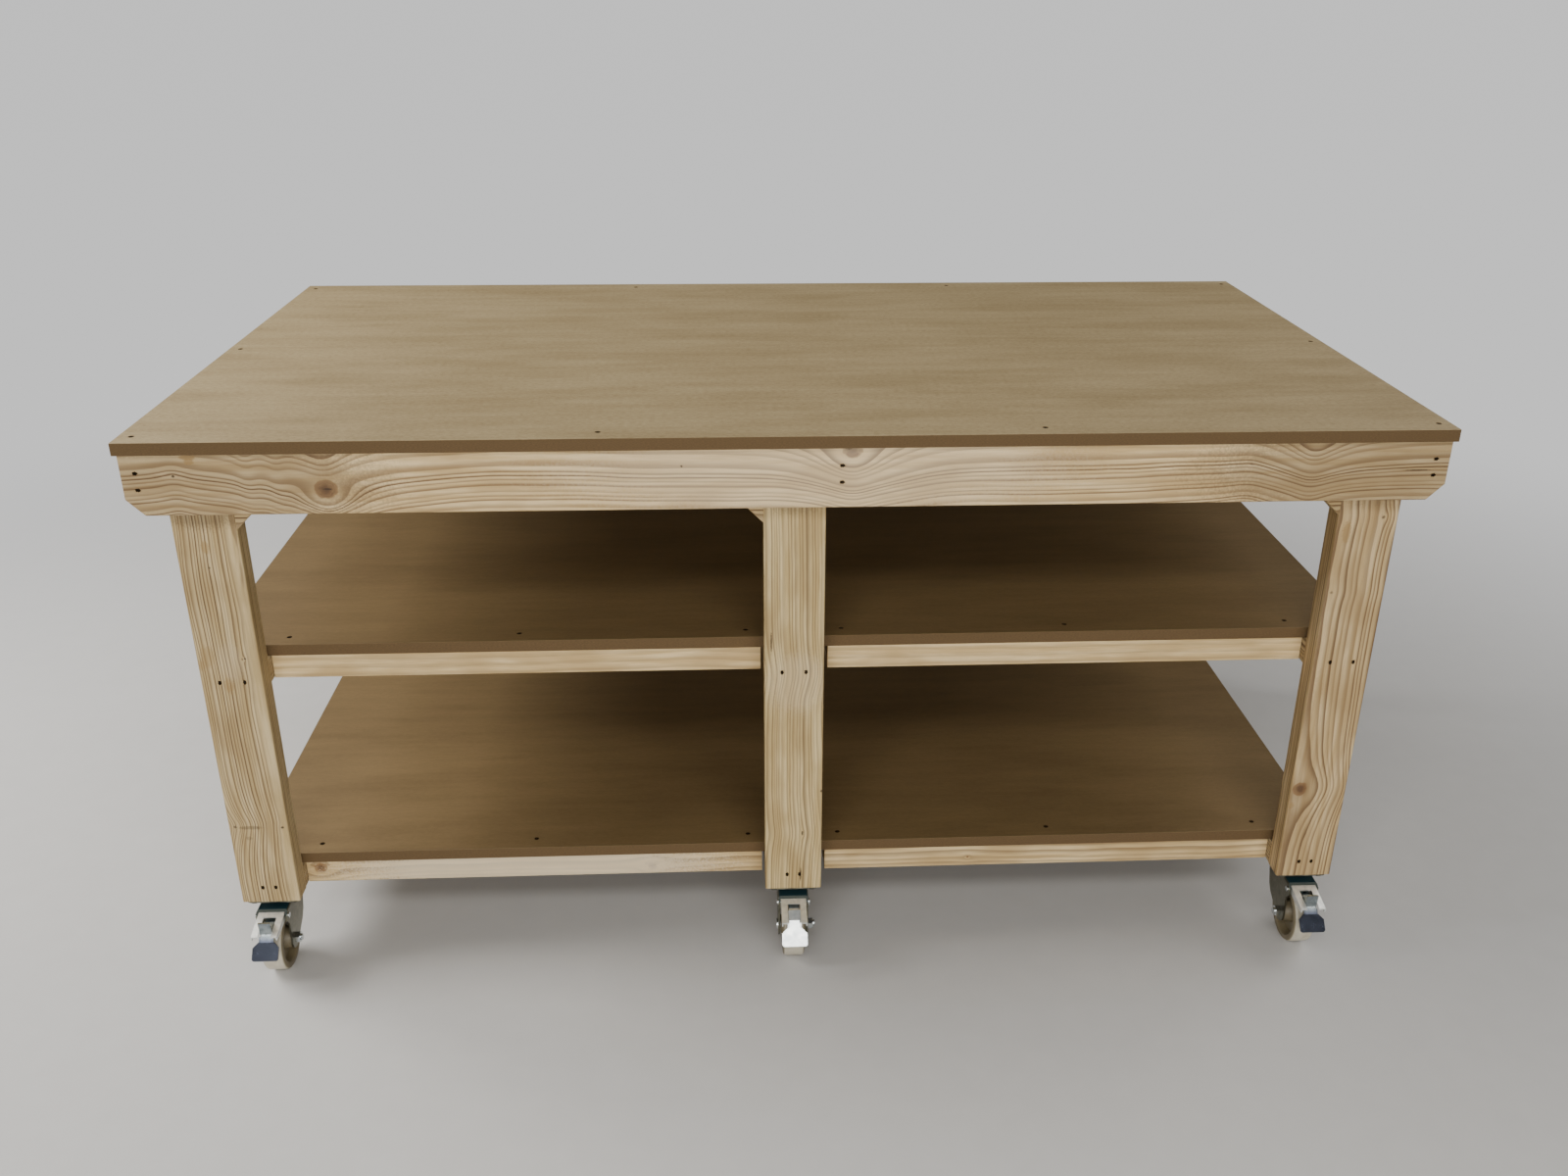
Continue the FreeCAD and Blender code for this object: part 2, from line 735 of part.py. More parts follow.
def race_balls():
    """Ring of balls under the plate."""
    ball = doc.addObject("Part::Sphere", "race_ball")
    bind(ball, Radius="ball_radius")
    doc.recompute()
    count = int(size("ball_count"))
    spots = []
    for step in range(count):
        angle = 2 * math.pi * (step + 0.5) / count
        spots.append(Placement(Vector(size("ball_pitch_radius") * math.cos(angle),
                                      size("ball_pitch_radius") * math.sin(angle),
                                      size("ball_height")), Rotation()))
    return copies(ball.Shape, spots)


group("caster_top_plates", copies(top_plate(), CASTER_PLACES.values()))
group("caster_kingpins", copies(kingpin(), CASTER_PLACES.values()))
one_ring = race_balls()
every_ball = []
for spot in CASTER_PLACES.values():
    for ball in one_ring:
        every_ball += copies(ball, [spot])
group("caster_race_balls", every_ball)

# ---- casters: moving pieces ---------------------------------------------------------


def fork_form():
    """Pressed fork: a crown with a raised ball race, and two legs down to the axle."""
    body = new_body("fork")
    side = polygon(body, "YZ_Plane", "fork_side", [
        (reach("crown_corner_cut - crown_rear_reach"), "crown_top_height"),
        (reach("crown_front_reach"), "crown_top_height"),
        (reach("fork_brow_reach"), "crown_top_height - fork_brow_drop"),
        (reach("fork_brow_reach"), "crown_top_height - crown_front_drop"),
        (reach("fork_throat_reach"), "fork_throat_height"),
        (reach("wheel_trail + fork_boss_radius"), "wheel_radius"),
        (reach("wheel_trail - 0.7 * fork_boss_radius"), "wheel_radius - 0.7 * fork_boss_radius"),
        (reach("-fork_hip_reach"), "fork_hip_height"),
        (reach("-fork_back_reach"), "fork_back_height"),
        (reach("-fork_heel_reach"), "fork_heel_height"),
        (reach("crown_corner_cut - crown_rear_reach"), "crown_top_height - crown_side_drop"),
    ])
    block_pad = symmetric(body, "Pad", "fork_block", side, "2 * fork_half_width")
    doc.recompute()
    bends = edges_where(
        block_pad.Shape,
        lambda edge: runs_along(edge, "y") and edge.CenterOfMass.z > size("crown_underside"))
    round_edges(body, "fork_bends", block_pad, bends, "crown_bend_radius")
    boss = circle(body, "YZ_Plane", "fork_boss", reach("wheel_trail"), "wheel_radius",
                  "fork_boss_radius")
    symmetric(body, "Pad", "fork_boss_pad", boss, "2 * fork_half_width")
    heel = polygon(body, "XY_Plane", "crown_heel", [
        ("-fork_half_width + crown_bend_radius", reach("crown_corner_cut - crown_rear_reach + 1")),
        ("-fork_half_width + crown_bend_radius", reach("crown_corner_cut - crown_rear_reach")),
        ("-fork_half_width + crown_corner_cut", reach("-crown_rear_reach")),
        ("fork_half_width - crown_corner_cut", reach("-crown_rear_reach")),
        ("fork_half_width - crown_bend_radius", reach("crown_corner_cut - crown_rear_reach")),
        ("fork_half_width - crown_bend_radius", reach("crown_corner_cut - crown_rear_reach + 1")),
    ])
    straight(body, "Pad", "crown_heel_pad", heel, "fork_sheet", "crown_underside")
    inside = polygon(body, "YZ_Plane", "fork_inside", [
        (reach("-crown_rear_reach - 1"), "crown_underside"),
        (reach("fork_brow_reach + 1"), "crown_underside"),
        (reach("fork_brow_reach + 1"), "0"),
        (reach("-crown_rear_reach - 1"), "0"),
    ])
    symmetric(body, "Pocket", "fork_channel", inside, "fork_gap")
    race = circle(body, "XY_Plane", "race_outline", "0", "0", "race_radius")
    straight(body, "Pad", "race_pad", race, "race_top - crown_underside", "crown_underside")
    hollow = circle(body, "XY_Plane", "race_hollow", "0", "0", "race_radius - fork_sheet")
    straight(body, "Pocket", "race_pocket", hollow, "crown_underside", "race_top - fork_sheet")
    hole = circle(body, "XY_Plane", "swivel_hole", "0", "0", "kingpin_radius + kingpin_clearance")
    straight(body, "Pocket", "swivel_hole_pocket", hole, "caster_height", "caster_height")
    for name, ahead, up, radius in (
            ("axle", "wheel_trail", "wheel_radius", "axle_radius"),
            ("brake_pin", "brake_pin_reach", "brake_pin_height", "brake_pin_radius")):
        hole = circle(body, "YZ_Plane", name + "_hole", reach(ahead), up, radius)
        symmetric(body, "Pocket", name + "_hole_pocket", hole, "3 * fork_half_width")
    doc.recompute()
    return body.Shape


def hood_form():
    """Brake housing: a folded sheet that slopes forward over the wheel, slotted in front."""
    body = new_body("hood")
    side = polygon(body, "YZ_Plane", "hood_side", [
        (reach("hood_rear_reach"), "crown_underside"),
        (reach("hood_bend_reach"), "crown_underside"),
        (reach("hood_front_reach"), "hood_front_height"),
        (reach("hood_front_reach"), "hood_front_height - hood_front_side"),
        (reach("hood_rear_reach"), "crown_underside - hood_rear_side"),
    ])
    symmetric(body, "Pad", "hood_block", side, "hood_width")
    slope = "(crown_underside - hood_front_height) / (hood_front_reach - hood_bend_reach)"
    inside = polygon(body, "YZ_Plane", "hood_inside", [
        (reach("hood_rear_reach - 1"), "crown_underside - hood_sheet"),
        (reach("hood_bend_reach"), "crown_underside - hood_sheet"),
        (reach("hood_front_reach + 1"), "hood_front_height - hood_sheet - " + slope),
        (reach("hood_front_reach + 1"), "0"),
        (reach("hood_rear_reach - 1"), "0"),
    ])
    symmetric(body, "Pocket", "hood_channel", inside, "hood_width - 2 * hood_sheet")
    slot = polygon(body, "XY_Plane", "hood_slot", [
        ("-hood_slot_width / 2", reach("hood_slot_reach")),
        ("-hood_slot_width / 2", reach("hood_front_reach + 1")),
        ("hood_slot_width / 2", reach("hood_front_reach + 1")),
        ("hood_slot_width / 2", reach("hood_slot_reach")),
    ])
    straight(body, "Pocket", "hood_slot_pocket", slot, "crown_top_height", "crown_top_height")
    hole = circle(body, "YZ_Plane", "hood_pin_hole", reach("brake_pin_reach"),
                  "brake_pin_height", "brake_pin_radius")
    symmetric(body, "Pocket", "hood_pin_hole_pocket", hole, "2 * hood_width")
    doc.recompute()
    return body.Shape


def wheel_form():
    """Nylon wheel: rim, thinner web and a hub that runs on a steel sleeve."""
    body = new_body("wheel")
    half, web = "wheel_width / 2", "wheel_web_thickness / 2"
    rim_inside = "wheel_radius - wheel_rim_thickness"
    bore_radius = "sleeve_radius + axle_clearance"
    profile = [
        (half, "wheel_radius"),
        (half, rim_inside + " + 2"),
        (half + " - 2", rim_inside),
        (web, rim_inside + " - 4"),
        (web, "wheel_hub_radius + 4"),
        ("hub_half_width - 3", "wheel_hub_radius"),
        ("hub_half_width", "wheel_hub_radius - 1"),
        ("hub_half_width", bore_radius),
    ]
    mirrored = [("-(%s)" % across, up) for across, up in reversed(profile)]
    outline = polygon(body, "XZ_Plane", "wheel_profile", profile + mirrored)
    turn = body.newObject("PartDesign::Revolution", "wheel_turn")
    turn.Profile = outline
    turn.ReferenceAxis = (outline, ["H_Axis"])
    turn.Angle = 360.0
    body.Tip = turn
    doc.recompute()
    rims = edges_where(
        turn.Shape,
        lambda edge: edge.Curve.TypeId == "Part::GeomCircle"
        and abs(edge.Curve.Radius - size("wheel_radius")) < 0.01)
    round_edges(body, "wheel_rounding", turn, rims, "wheel_edge_radius")
    place(body, "0", reach("wheel_trail"), "wheel_radius")
    doc.recompute()
    return body.Shape


def pedal_form():
    """Brake pedal: a rocker with a bar over the tread, a release tab and a foot plate."""
    body = new_body("pedal")
    barrel = circle(body, "YZ_Plane", "pedal_barrel", reach("brake_pin_reach"),
                    "brake_pin_height", "pedal_barrel_radius")
    symmetric(body, "Pad", "pedal_barrel_pad", barrel,
              "hood_width - 2 * hood_sheet - 2 * pedal_side_gap")
    arm = polygon(body, "YZ_Plane", "pedal_arm", [
        (reach("brake_pin_reach"), "brake_pin_height + pedal_sheet / 2"),
        (reach("pedal_arm_reach"), "pedal_arm_front_height + pedal_sheet / 2"),
        (reach("pedal_knee_reach"), "pedal_knee_height"),
        (reach("pedal_knee_reach - pedal_sheet"), "pedal_knee_height - pedal_sheet / 2"),
        (reach("pedal_arm_reach - pedal_sheet / 2"), "pedal_arm_front_height - pedal_sheet / 2"),
        (reach("brake_pin_reach"), "brake_pin_height - pedal_sheet / 2"),
    ])
    symmetric(body, "Pad", "pedal_arm_pad", arm, "pedal_arm_width")
    cheek_front = "pedal_tab_reach + pedal_sheet"
    cheek_rear = cheek_front + " - pedal_cheek_length"
    cheek = polygon(body, "YZ_Plane", "pedal_cheek", [
        (reach(cheek_front), "pedal_arm_front_height"),
        (reach(cheek_front), "pedal_tab_height - pedal_sheet / 2"),
        (reach(cheek_front + " - pedal_cheek_length / 2"), "pedal_tab_height - pedal_cheek_rise"),
        (reach(cheek_rear), "pedal_arm_front_height + 1.5 * pedal_cheek_rise"),
        (reach(cheek_rear), "pedal_arm_front_height + 1.5 * pedal_sheet"),
    ])
    symmetric(body, "Pad", "pedal_cheek_pad", cheek, "pedal_tab_width")
    throat = polygon(body, "YZ_Plane", "pedal_throat", [
        (reach("pedal_arm_reach"), "pedal_arm_front_height + pedal_sheet / 2"),
        (reach("pedal_arm_reach"), "pedal_tab_height + 1"),
        (reach("brake_pin_reach + pedal_barrel_radius"), "pedal_tab_height + 1"),
        (reach("brake_pin_reach + pedal_barrel_radius"), "brake_pin_height + pedal_sheet / 2"),
    ])
    symmetric(body, "Pocket", "pedal_throat_pocket", throat,
              "pedal_tab_width - 2 * pedal_cheek_sheet")
    neck = polygon(body, "YZ_Plane", "pedal_neck", [
        (reach("pedal_arm_reach + pedal_sheet / 2"), "pedal_arm_front_height - pedal_neck_drop"),
        (reach("pedal_knee_reach"), "pedal_knee_height"),
        (reach("pedal_knee_reach - pedal_sheet"), "pedal_knee_height - pedal_sheet / 2"),
        (reach("pedal_arm_reach - pedal_sheet / 2"),
         "pedal_arm_front_height - pedal_neck_drop - pedal_sheet / 2"),
    ])
    symmetric(body, "Pad", "pedal_neck_pad", neck, "pedal_neck_width")
    foot = polygon(body, "YZ_Plane", "pedal_foot", [
        (reach("pedal_knee_reach"), "pedal_knee_height"),
        (reach("pedal_foot_reach"), "pedal_foot_height"),
        (reach("pedal_foot_reach - pedal_sheet * 3 / 4"), "pedal_foot_height - pedal_sheet * 3 / 4"),
        (reach("pedal_knee_reach - pedal_sheet"), "pedal_knee_height - pedal_sheet / 2"),
    ])
    foot_pad = symmetric(body, "Pad", "pedal_foot_pad", foot, "pedal_foot_width")
    doc.recompute()
    outer = size("pedal_foot_width") / 2 - 0.1
    shoulders = edges_where(
        foot_pad.Shape,
        lambda edge: edge.CenterOfMass.z > size("pedal_knee_height") - size("pedal_sheet")
        and abs(edge.CenterOfMass.x) > outer
        and edge.Length < 1.5 * size("pedal_sheet"))
    cut = body.newObject("PartDesign::Chamfer", "pedal_shoulders")
    cut.Base = (foot_pad, shoulders)
    bind(cut, Size="pedal_foot_corner")
    body.Tip = cut
    doc.recompute()
    toes = edges_where(
        cut.Shape,
        lambda edge: edge.CenterOfMass.z < size("pedal_foot_height")
        and abs(edge.CenterOfMass.x) > outer)
    round_edges(body, "pedal_toes", cut, toes, "pedal_toe_radius")
    foot_of_tab = "pedal_arm_front_height"
    tab = polygon(body, "YZ_Plane", "pedal_tab", [
        (reach("pedal_tab_reach"), foot_of_tab),
        (reach("pedal_tab_reach + pedal_sheet"), foot_of_tab),
        (reach("pedal_tab_reach + pedal_sheet + pedal_tab_lean"), "pedal_tab_height"),
        (reach("pedal_tab_reach + pedal_tab_lean"), "pedal_tab_height"),
    ])
    symmetric(body, "Pad", "pedal_tab_pad", tab, "pedal_tab_width")
    bar = circle(body, "YZ_Plane", "brake_bar", reach("brake_bar_reach"), "brake_bar_height",
                 "brake_bar_radius")
    symmetric(body, "Pad", "brake_bar_pad", bar, "brake_bar_width")
    hole = circle(body, "YZ_Plane", "pedal_pin_hole", reach("brake_pin_reach"),
                  "brake_pin_height", "brake_pin_radius + axle_clearance")
    symmetric(body, "Pocket", "pedal_pin_hole_pocket", hole, "2 * hood_width")
    doc.recompute()
    return body.Shape


def across_cylinder(name, radius, start, length, ahead, up):
    """Cylinder that lies along X from the given start."""
    item = doc.addObject("Part::Cylinder", name)
    bind(item, Radius=radius, Height=length)
    item.Placement.Rotation = Rotation(Vector(0, 1, 0), 90)
    place(item, start, reach(ahead), up)
    return item


def across_hexagon(name, radius, start, length, ahead, up):
    item = doc.addObject("Part::Prism", name)
    item.Polygon = 6
    bind(item, Circumradius=radius, Height=length)
    item.Placement.Rotation = Rotation(Vector(0, 1, 0), 90)
    place(item, start, reach(ahead), up)
    return item


def joined(kind, name, first, second):
    """Union or difference of two objects."""
    item = doc.addObject("Part::" + kind, name)
    item.Base = first
    item.Tool = second
    return item


def caster_pins():
    """Axle bolt, its nut, the sleeve the wheel runs on, and the pedal's rivet."""
    axle = ("wheel_trail", "wheel_radius")
    shank = across_cylinder("axle_shank", "axle_radius", "-fork_half_width",
                            "2 * fork_half_width + axle_nut_height + axle_end_length", *axle)
    head = across_cylinder("axle_head", "axle_head_radius",
                           "-fork_half_width - axle_head_height", "axle_head_height", *axle)
    bolt = joined("Fuse", "axle_bolt", shank, head)
    block_nut = across_hexagon("nut_block", "axle_nut_radius", "fork_half_width",
                               "axle_nut_height", *axle)
    nut_hole = across_cylinder("nut_hole", "axle_radius", "fork_half_width", "axle_nut_height",
                               *axle)
    nut = joined("Cut", "axle_nut", block_nut, nut_hole)
    tube = across_cylinder("sleeve_tube", "sleeve_radius", "-fork_gap / 2", "fork_gap", *axle)
    tube_hole = across_cylinder("sleeve_hole", "axle_radius", "-fork_gap / 2", "fork_gap", *axle)
    sleeve = joined("Cut", "axle_sleeve", tube, tube_hole)
    pivot = ("brake_pin_reach", "brake_pin_height")
    pin = across_cylinder("rivet_shank", "brake_pin_radius", "-fork_half_width",
                          "2 * fork_half_width", *pivot)
    near_head = across_cylinder("rivet_near_head", "brake_pin_head_radius",
                                "-fork_half_width - brake_pin_head_height",
                                "brake_pin_head_height", *pivot)
    far_head = across_cylinder("rivet_far_head", "brake_pin_head_radius", "fork_half_width",
                               "brake_pin_head_height", *pivot)
    rivet = joined("Fuse", "pedal_rivet", joined("Fuse", "rivet_with_head", pin, near_head),
                   far_head)
    doc.recompute()
    return [item.Shape.Solids[0] for item in (bolt, nut, sleeve, rivet)]


MOVING_FORMS = {"fork": fork_form(), "hood": hood_form(), "wheel": wheel_form(),
                "pedal": pedal_form()}
pins = caster_pins()
turned_pins = [pin.mirror(Vector(0, 0, 0), Vector(1, 0, 0)) for pin in pins]

for spot_name, spot in CASTER_PLACES.items():
    for form_name, form in MOVING_FORMS.items():
        item = doc.addObject("Part::Feature", "%s_caster_%s" % (spot_name, form_name))
        item.Shape = form.Solids[0].copy()
        item.Placement = spot.multiply(item.Placement)
        keep(item.Name, item)
    turned = spot_name.startswith("rear") != spot_name.endswith("right")
    own_pins = turned_pins if turned else pins
    group("%s_caster_pins" % spot_name, [copies(pin, [spot])[0] for pin in own_pins])

# ---- checks and files ---------------------------------------------------------------

doc.recompute()
SOLID_COUNTS = {
    "worktop_screws": worktop_count,
    "shelf_screws": len(SCREW_PLACES["board_screw"]) - worktop_count,
    "frame_screws": len(SCREW_PLACES["frame_screw"]) + len(SCREW_PLACES["stitch_screw"]),
    "caster_plate_screws": len(coach_screw_places()),
    "caster_top_plates": len(CASTER_PLACES),
    "caster_kingpins": len(CASTER_PLACES),
    "caster_race_balls": len(CASTER_PLACES) * int(size("ball_count")),
    "middle_shelf_battens": 4,
    "bottom_shelf_battens": 4,
    "corner_gussets": len(gussets),
}
for item in doc.Objects:
    if "Invalid" in item.State or "Error" in item.State:
        raise ValueError("%s failed to compute" % item.Label)
for node, item in NODES.items():
    shape = item.Shape
    if shape.isNull() or not shape.isValid():
        raise ValueError("%s has a bad shape" % node)
    expected = SOLID_COUNTS.get(node, 4 if node.endswith("_pins") else 1)
    if len(shape.Solids) != expected:
        raise ValueError("%s has %d solids, not %d" % (node, len(shape.Solids), expected))

os.makedirs("parts", exist_ok=True)
for node, item in NODES.items():
    item.Shape.exportStep("parts/%s.step" % node)
    print("%-28s %8.1f cm3  %s" % (node, item.Shape.Volume / 1000, item.Shape.BoundBox))
print(len(NODES), "sub-parts")
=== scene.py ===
# %% [markdown]
# # A timber assembly table on casters
# This lesson dresses a finished construction model: a table of planed pine and MDF that stands
# on six braked casters. The sizes and places of all pieces come with the model, so the lesson
# is about surfaces: how growth rings run through a board, how fibreboard differs on its face
# and on its sawn edge, and how plated steel and cast nylon answer the light.

# %% Load the construction model
import math

import bpy
import numpy as np
from mathutils import Matrix, Vector


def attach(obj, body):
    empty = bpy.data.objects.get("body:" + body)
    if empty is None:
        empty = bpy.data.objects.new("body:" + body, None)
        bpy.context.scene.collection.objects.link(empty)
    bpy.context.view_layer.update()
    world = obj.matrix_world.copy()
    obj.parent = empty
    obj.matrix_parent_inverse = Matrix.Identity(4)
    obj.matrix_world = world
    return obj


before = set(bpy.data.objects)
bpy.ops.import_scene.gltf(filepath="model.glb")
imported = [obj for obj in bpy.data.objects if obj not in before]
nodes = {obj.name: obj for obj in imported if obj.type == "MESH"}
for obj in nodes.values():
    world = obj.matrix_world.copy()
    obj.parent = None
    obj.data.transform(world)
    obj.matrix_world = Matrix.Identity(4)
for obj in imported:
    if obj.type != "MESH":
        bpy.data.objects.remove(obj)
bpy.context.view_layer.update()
MM = 0.001
print("pieces in the construction model:", len(nodes))

# %% [markdown]
# ## The camera
# A person of average height stands a little left of the middle, holds the camera at eye level
# and tips it down. A lens of about 32 mm on a 36 mm wide sensor gives the strong convergence
# of the legs. The three angles are turned in the order yaw, pitch, roll. The centre of the
# lens lies a few pixels off the middle of the frame, and the shift takes that up.

# %% Camera
CAMERA_PLACE = Vector((-0.0961, -2.319, 1.4805))
CAMERA_YAW = -0.05268
CAMERA_PITCH = -0.4244
CAMERA_ROLL = 0.0058
SENSOR_WIDTH = 36.0
FOCAL_PIXELS = 1435.0
IMAGE_WIDTH, IMAGE_HEIGHT = 1600, 1200
LENS_CENTRE = (815.8 - IMAGE_WIDTH / 2, 612.3 - IMAGE_HEIGHT / 2)

camera = bpy.data.cameras.new("eye")
camera.sensor_width = SENSOR_WIDTH
camera.lens = FOCAL_PIXELS / IMAGE_WIDTH * SENSOR_WIDTH
camera.shift_x = -LENS_CENTRE[0] / IMAGE_WIDTH
camera.shift_y = LENS_CENTRE[1] / IMAGE_WIDTH
camera_object = bpy.data.objects.new("eye", camera)
bpy.context.scene.collection.objects.link(camera_object)
camera_object.matrix_world = (
    Matrix.Translation(CAMERA_PLACE)
    @ Matrix.Rotation(CAMERA_YAW, 4, "Z")
    @ Matrix.Rotation(math.pi / 2 + CAMERA_PITCH, 4, "X")
    @ Matrix.Rotation(CAMERA_ROLL, 4, "Z"))
bpy.context.scene.camera = camera_object
print("lens of", round(camera.lens, 2), "mm")

# %% [markdown]
# ## Light and floor
# Two lamps light the front. The high one throws the shadow of the rail on to the middle
# shelf. A lamp above each end and one more beyond the left end reach under the worktop from
# the sides, the left ones more strongly, and leave the middle of the shelves dark.

# %% Lamps
WARM_WHITE = (1.0, 0.97, 0.92)


def area_lamp(name, place, aim, width, depth, power):
    """Rectangular lamp at a place, turned to face a point. Lengths are in metres and the
    power is in watts."""
    lamp = bpy.data.lights.new(name, "AREA")
    lamp.shape = "RECTANGLE"
    lamp.size = width
    lamp.size_y = depth
    lamp.energy = power
    lamp.color = WARM_WHITE
    holder = bpy.data.objects.new(name, lamp)
    bpy.context.scene.collection.objects.link(holder)
    holder.location = place
    holder.rotation_euler = (Vector(aim) - Vector(place)).to_track_quat("-Z", "Y").to_euler()


area_lamp("low_front_lamp", (0, -4.2, 1.3), (0, 0, 0.5), 4.5, 1.6, 112)
area_lamp("high_front_lamp", (0, -3.3, 3.0), (0, -0.35, 0.6), 3.4, 0.6, 48)
area_lamp("left_top_lamp", (-2.6, 0.3, 2.6), (0, 0, 0.8), 2.0, 2.0, 60)
area_lamp("right_top_lamp", (2.6, 0.3, 2.6), (0, 0, 0.8), 2.0, 2.0, 39)
area_lamp("left_side_lamp", (-3.1, 0.15, 2.1), (0, 0.1, 0.5), 2.2, 0.9, 78)
print("lamps:", len(bpy.data.lights))

# %% [markdown]
# ## Sky and floor
# The sky adds little light, but the camera sees it pale: a Light Path node tells a ray from
# the camera apart from a ray that carries light. The floor is one large square.

# %% Sky
SKY_LIGHT, SKY_SEEN = 0.05, 0.8
WHITE, BLACK = (1.0, 1.0, 1.0, 1.0), (0.0, 0.0, 0.0, 1.0)
sky = bpy.data.worlds.new("pale_sky")
bpy.context.scene.world = sky
sky.use_nodes = True
sky_nodes, sky_links = sky.node_tree.nodes, sky.node_tree.links
sky_nodes["Background"].inputs["Color"].default_value = WHITE
seen = sky_nodes.new("ShaderNodeLightPath").outputs["Is Camera Ray"]
strength = sky_nodes.new("ShaderNodeMapRange")
strength.inputs["To Min"].default_value = SKY_LIGHT
strength.inputs["To Max"].default_value = SKY_SEEN
sky_links.new(seen, strength.inputs["Value"])
sky_links.new(strength.outputs[0], sky_nodes["Background"].inputs["Strength"])
print("sky nodes:", len(sky_nodes))

# %% Floor
FLOOR_REACH = 12.0
floor_mesh = bpy.data.meshes.new("studio_floor")
floor_corners = [(-FLOOR_REACH, -FLOOR_REACH, 0), (FLOOR_REACH, -FLOOR_REACH, 0),
                 (FLOOR_REACH, FLOOR_REACH, 0), (-FLOOR_REACH, FLOOR_REACH, 0)]
floor_mesh.from_pydata(floor_corners, [], [(0, 1, 2, 3)])
studio_floor = bpy.data.objects.new("studio_floor", floor_mesh)
bpy.context.scene.collection.objects.link(studio_floor)
print("floor of", 2 * FLOOR_REACH, "m")

# %% [markdown]
# ## A small vocabulary for node graphs
# A procedural material is a graph of nodes. Written out call by call it is long and hard to
# read, so a helper class gives each step a short word: `sum`, `times`, `noise`, `blend`.
# Every call returns the socket that carries its result, ready for the next step. Several
# inputs of a Mix node share one name, so those sockets are picked by number.

# %% Node graph helper
MIX_SHARE = 0
COLOUR_FIRST, COLOUR_SECOND, COLOUR_RESULT = 6, 7, 2
NUMBER_FIRST, NUMBER_SECOND, NUMBER_RESULT = 2, 3, 0


class Graph:
    """Short words for the nodes of one tree."""

    def __init__(self, tree):
        self.tree = tree

    def make(self, kind, **settings):
        node = self.tree.nodes.new(kind)
        for name, value in settings.items():
            setattr(node, name, value)
        return node

    def feed(self, socket, value):
        """Link a socket to an output, or set it to a plain value."""
        if isinstance(value, bpy.types.NodeSocket):
            self.tree.links.new(value, socket)
        else:
            socket.default_value = value

    def math(self, operation, *values):
        node = self.make("ShaderNodeMath", operation=operation)
        for socket, value in zip(node.inputs, values):
            self.feed(socket, value)
        return node.outputs[0]

    def sum(self, first, *others):
        for other in others:
            first = self.math("ADD", first, other)
        return first

    def minus(self, first, second):
        return self.math("SUBTRACT", first, second)

    def times(self, first, *others):
        for other in others:
            first = self.math("MULTIPLY", first, other)
        return first

    def over(self, first, second):
        return self.math("DIVIDE", first, second)

    def square(self, value):
        return self.math("MULTIPLY", value, value)

    def step(self, value, low, high, out_low=0.0, out_high=1.0):
        """Smooth step: out_low up to low, out_high from high, an S curve between."""
        node = self.make("ShaderNodeMapRange", interpolation_type="SMOOTHSTEP")
        for name, amount in (("Value", value), ("From Min", low), ("From Max", high),
                             ("To Min", out_low), ("To Max", out_high)):
            self.feed(node.inputs[name], amount)
        return node.outputs[0]

    def point(self, x, y, z):
        node = self.make("ShaderNodeCombineXYZ")
        for socket, value in zip(node.inputs, (x, y, z)):
            self.feed(socket, value)
        return node.outputs[0]

    def parts(self, vector):
        node = self.make("ShaderNodeSeparateXYZ")
        self.feed(node.inputs[0], vector)
        return node.outputs

    def vector(self, operation, *values):
        node = self.make("ShaderNodeVectorMath", operation=operation)
        for socket, value in zip(node.inputs, values):
            self.feed(socket, value)
        return node.outputs["Value" if operation in ("LENGTH", "DOT_PRODUCT") else "Vector"]

    def noise(self, place, scale=1.0, detail=2.0, roughness=0.5):
        node = self.make("ShaderNodeTexNoise")
        for name, value in (("Vector", place), ("Scale", scale), ("Detail", detail),
                            ("Roughness", roughness)):
            self.feed(node.inputs[name], value)
        return node.outputs[0]

    def blend(self, share, first, second, kind="MIX"):
        """Colour mixed from two, by a share from 0 to 1."""
        node = self.make("ShaderNodeMix", data_type="RGBA", blend_type=kind)
        self.feed(node.inputs[MIX_SHARE], share)
        self.feed(node.inputs[COLOUR_FIRST], first)
        self.feed(node.inputs[COLOUR_SECOND], second)
        return node.outputs[COLOUR_RESULT]

    def between(self, share, first, second):
        """Number mixed from two, by a share from 0 to 1."""
        node = self.make("ShaderNodeMix", data_type="FLOAT")
        self.feed(node.inputs[MIX_SHARE], share)
        self.feed(node.inputs[NUMBER_FIRST], first)
        self.feed(node.inputs[NUMBER_SECOND], second)
        return node.outputs[NUMBER_RESULT]

    def group(self, tree, **values):
        """Node group with values for its inputs; an underscore stands for a space."""
        node = self.make("ShaderNodeGroup", node_tree=tree)
        for name, value in values.items():
            self.feed(node.inputs[name.replace("_", " ")], value)
        return node.outputs

    def place_mm(self):
        """Place on the piece in millimetres: Object coordinates, in the model's frame."""
        coordinates = self.make("ShaderNodeTexCoord")
        return self.vector("MULTIPLY", coordinates.outputs["Object"], (1 / MM, 1 / MM, 1 / MM))

    def facing(self):
        """Direction that the surface faces, in the model's frame."""
        return self.make("ShaderNodeTexCoord").outputs["Normal"]


print("graph helper ready")

# %% Groups, materials and relief
SOCKET_KINDS = {"float": "NodeSocketFloat", "vector": "NodeSocketVector",
                "colour": "NodeSocketColor"}


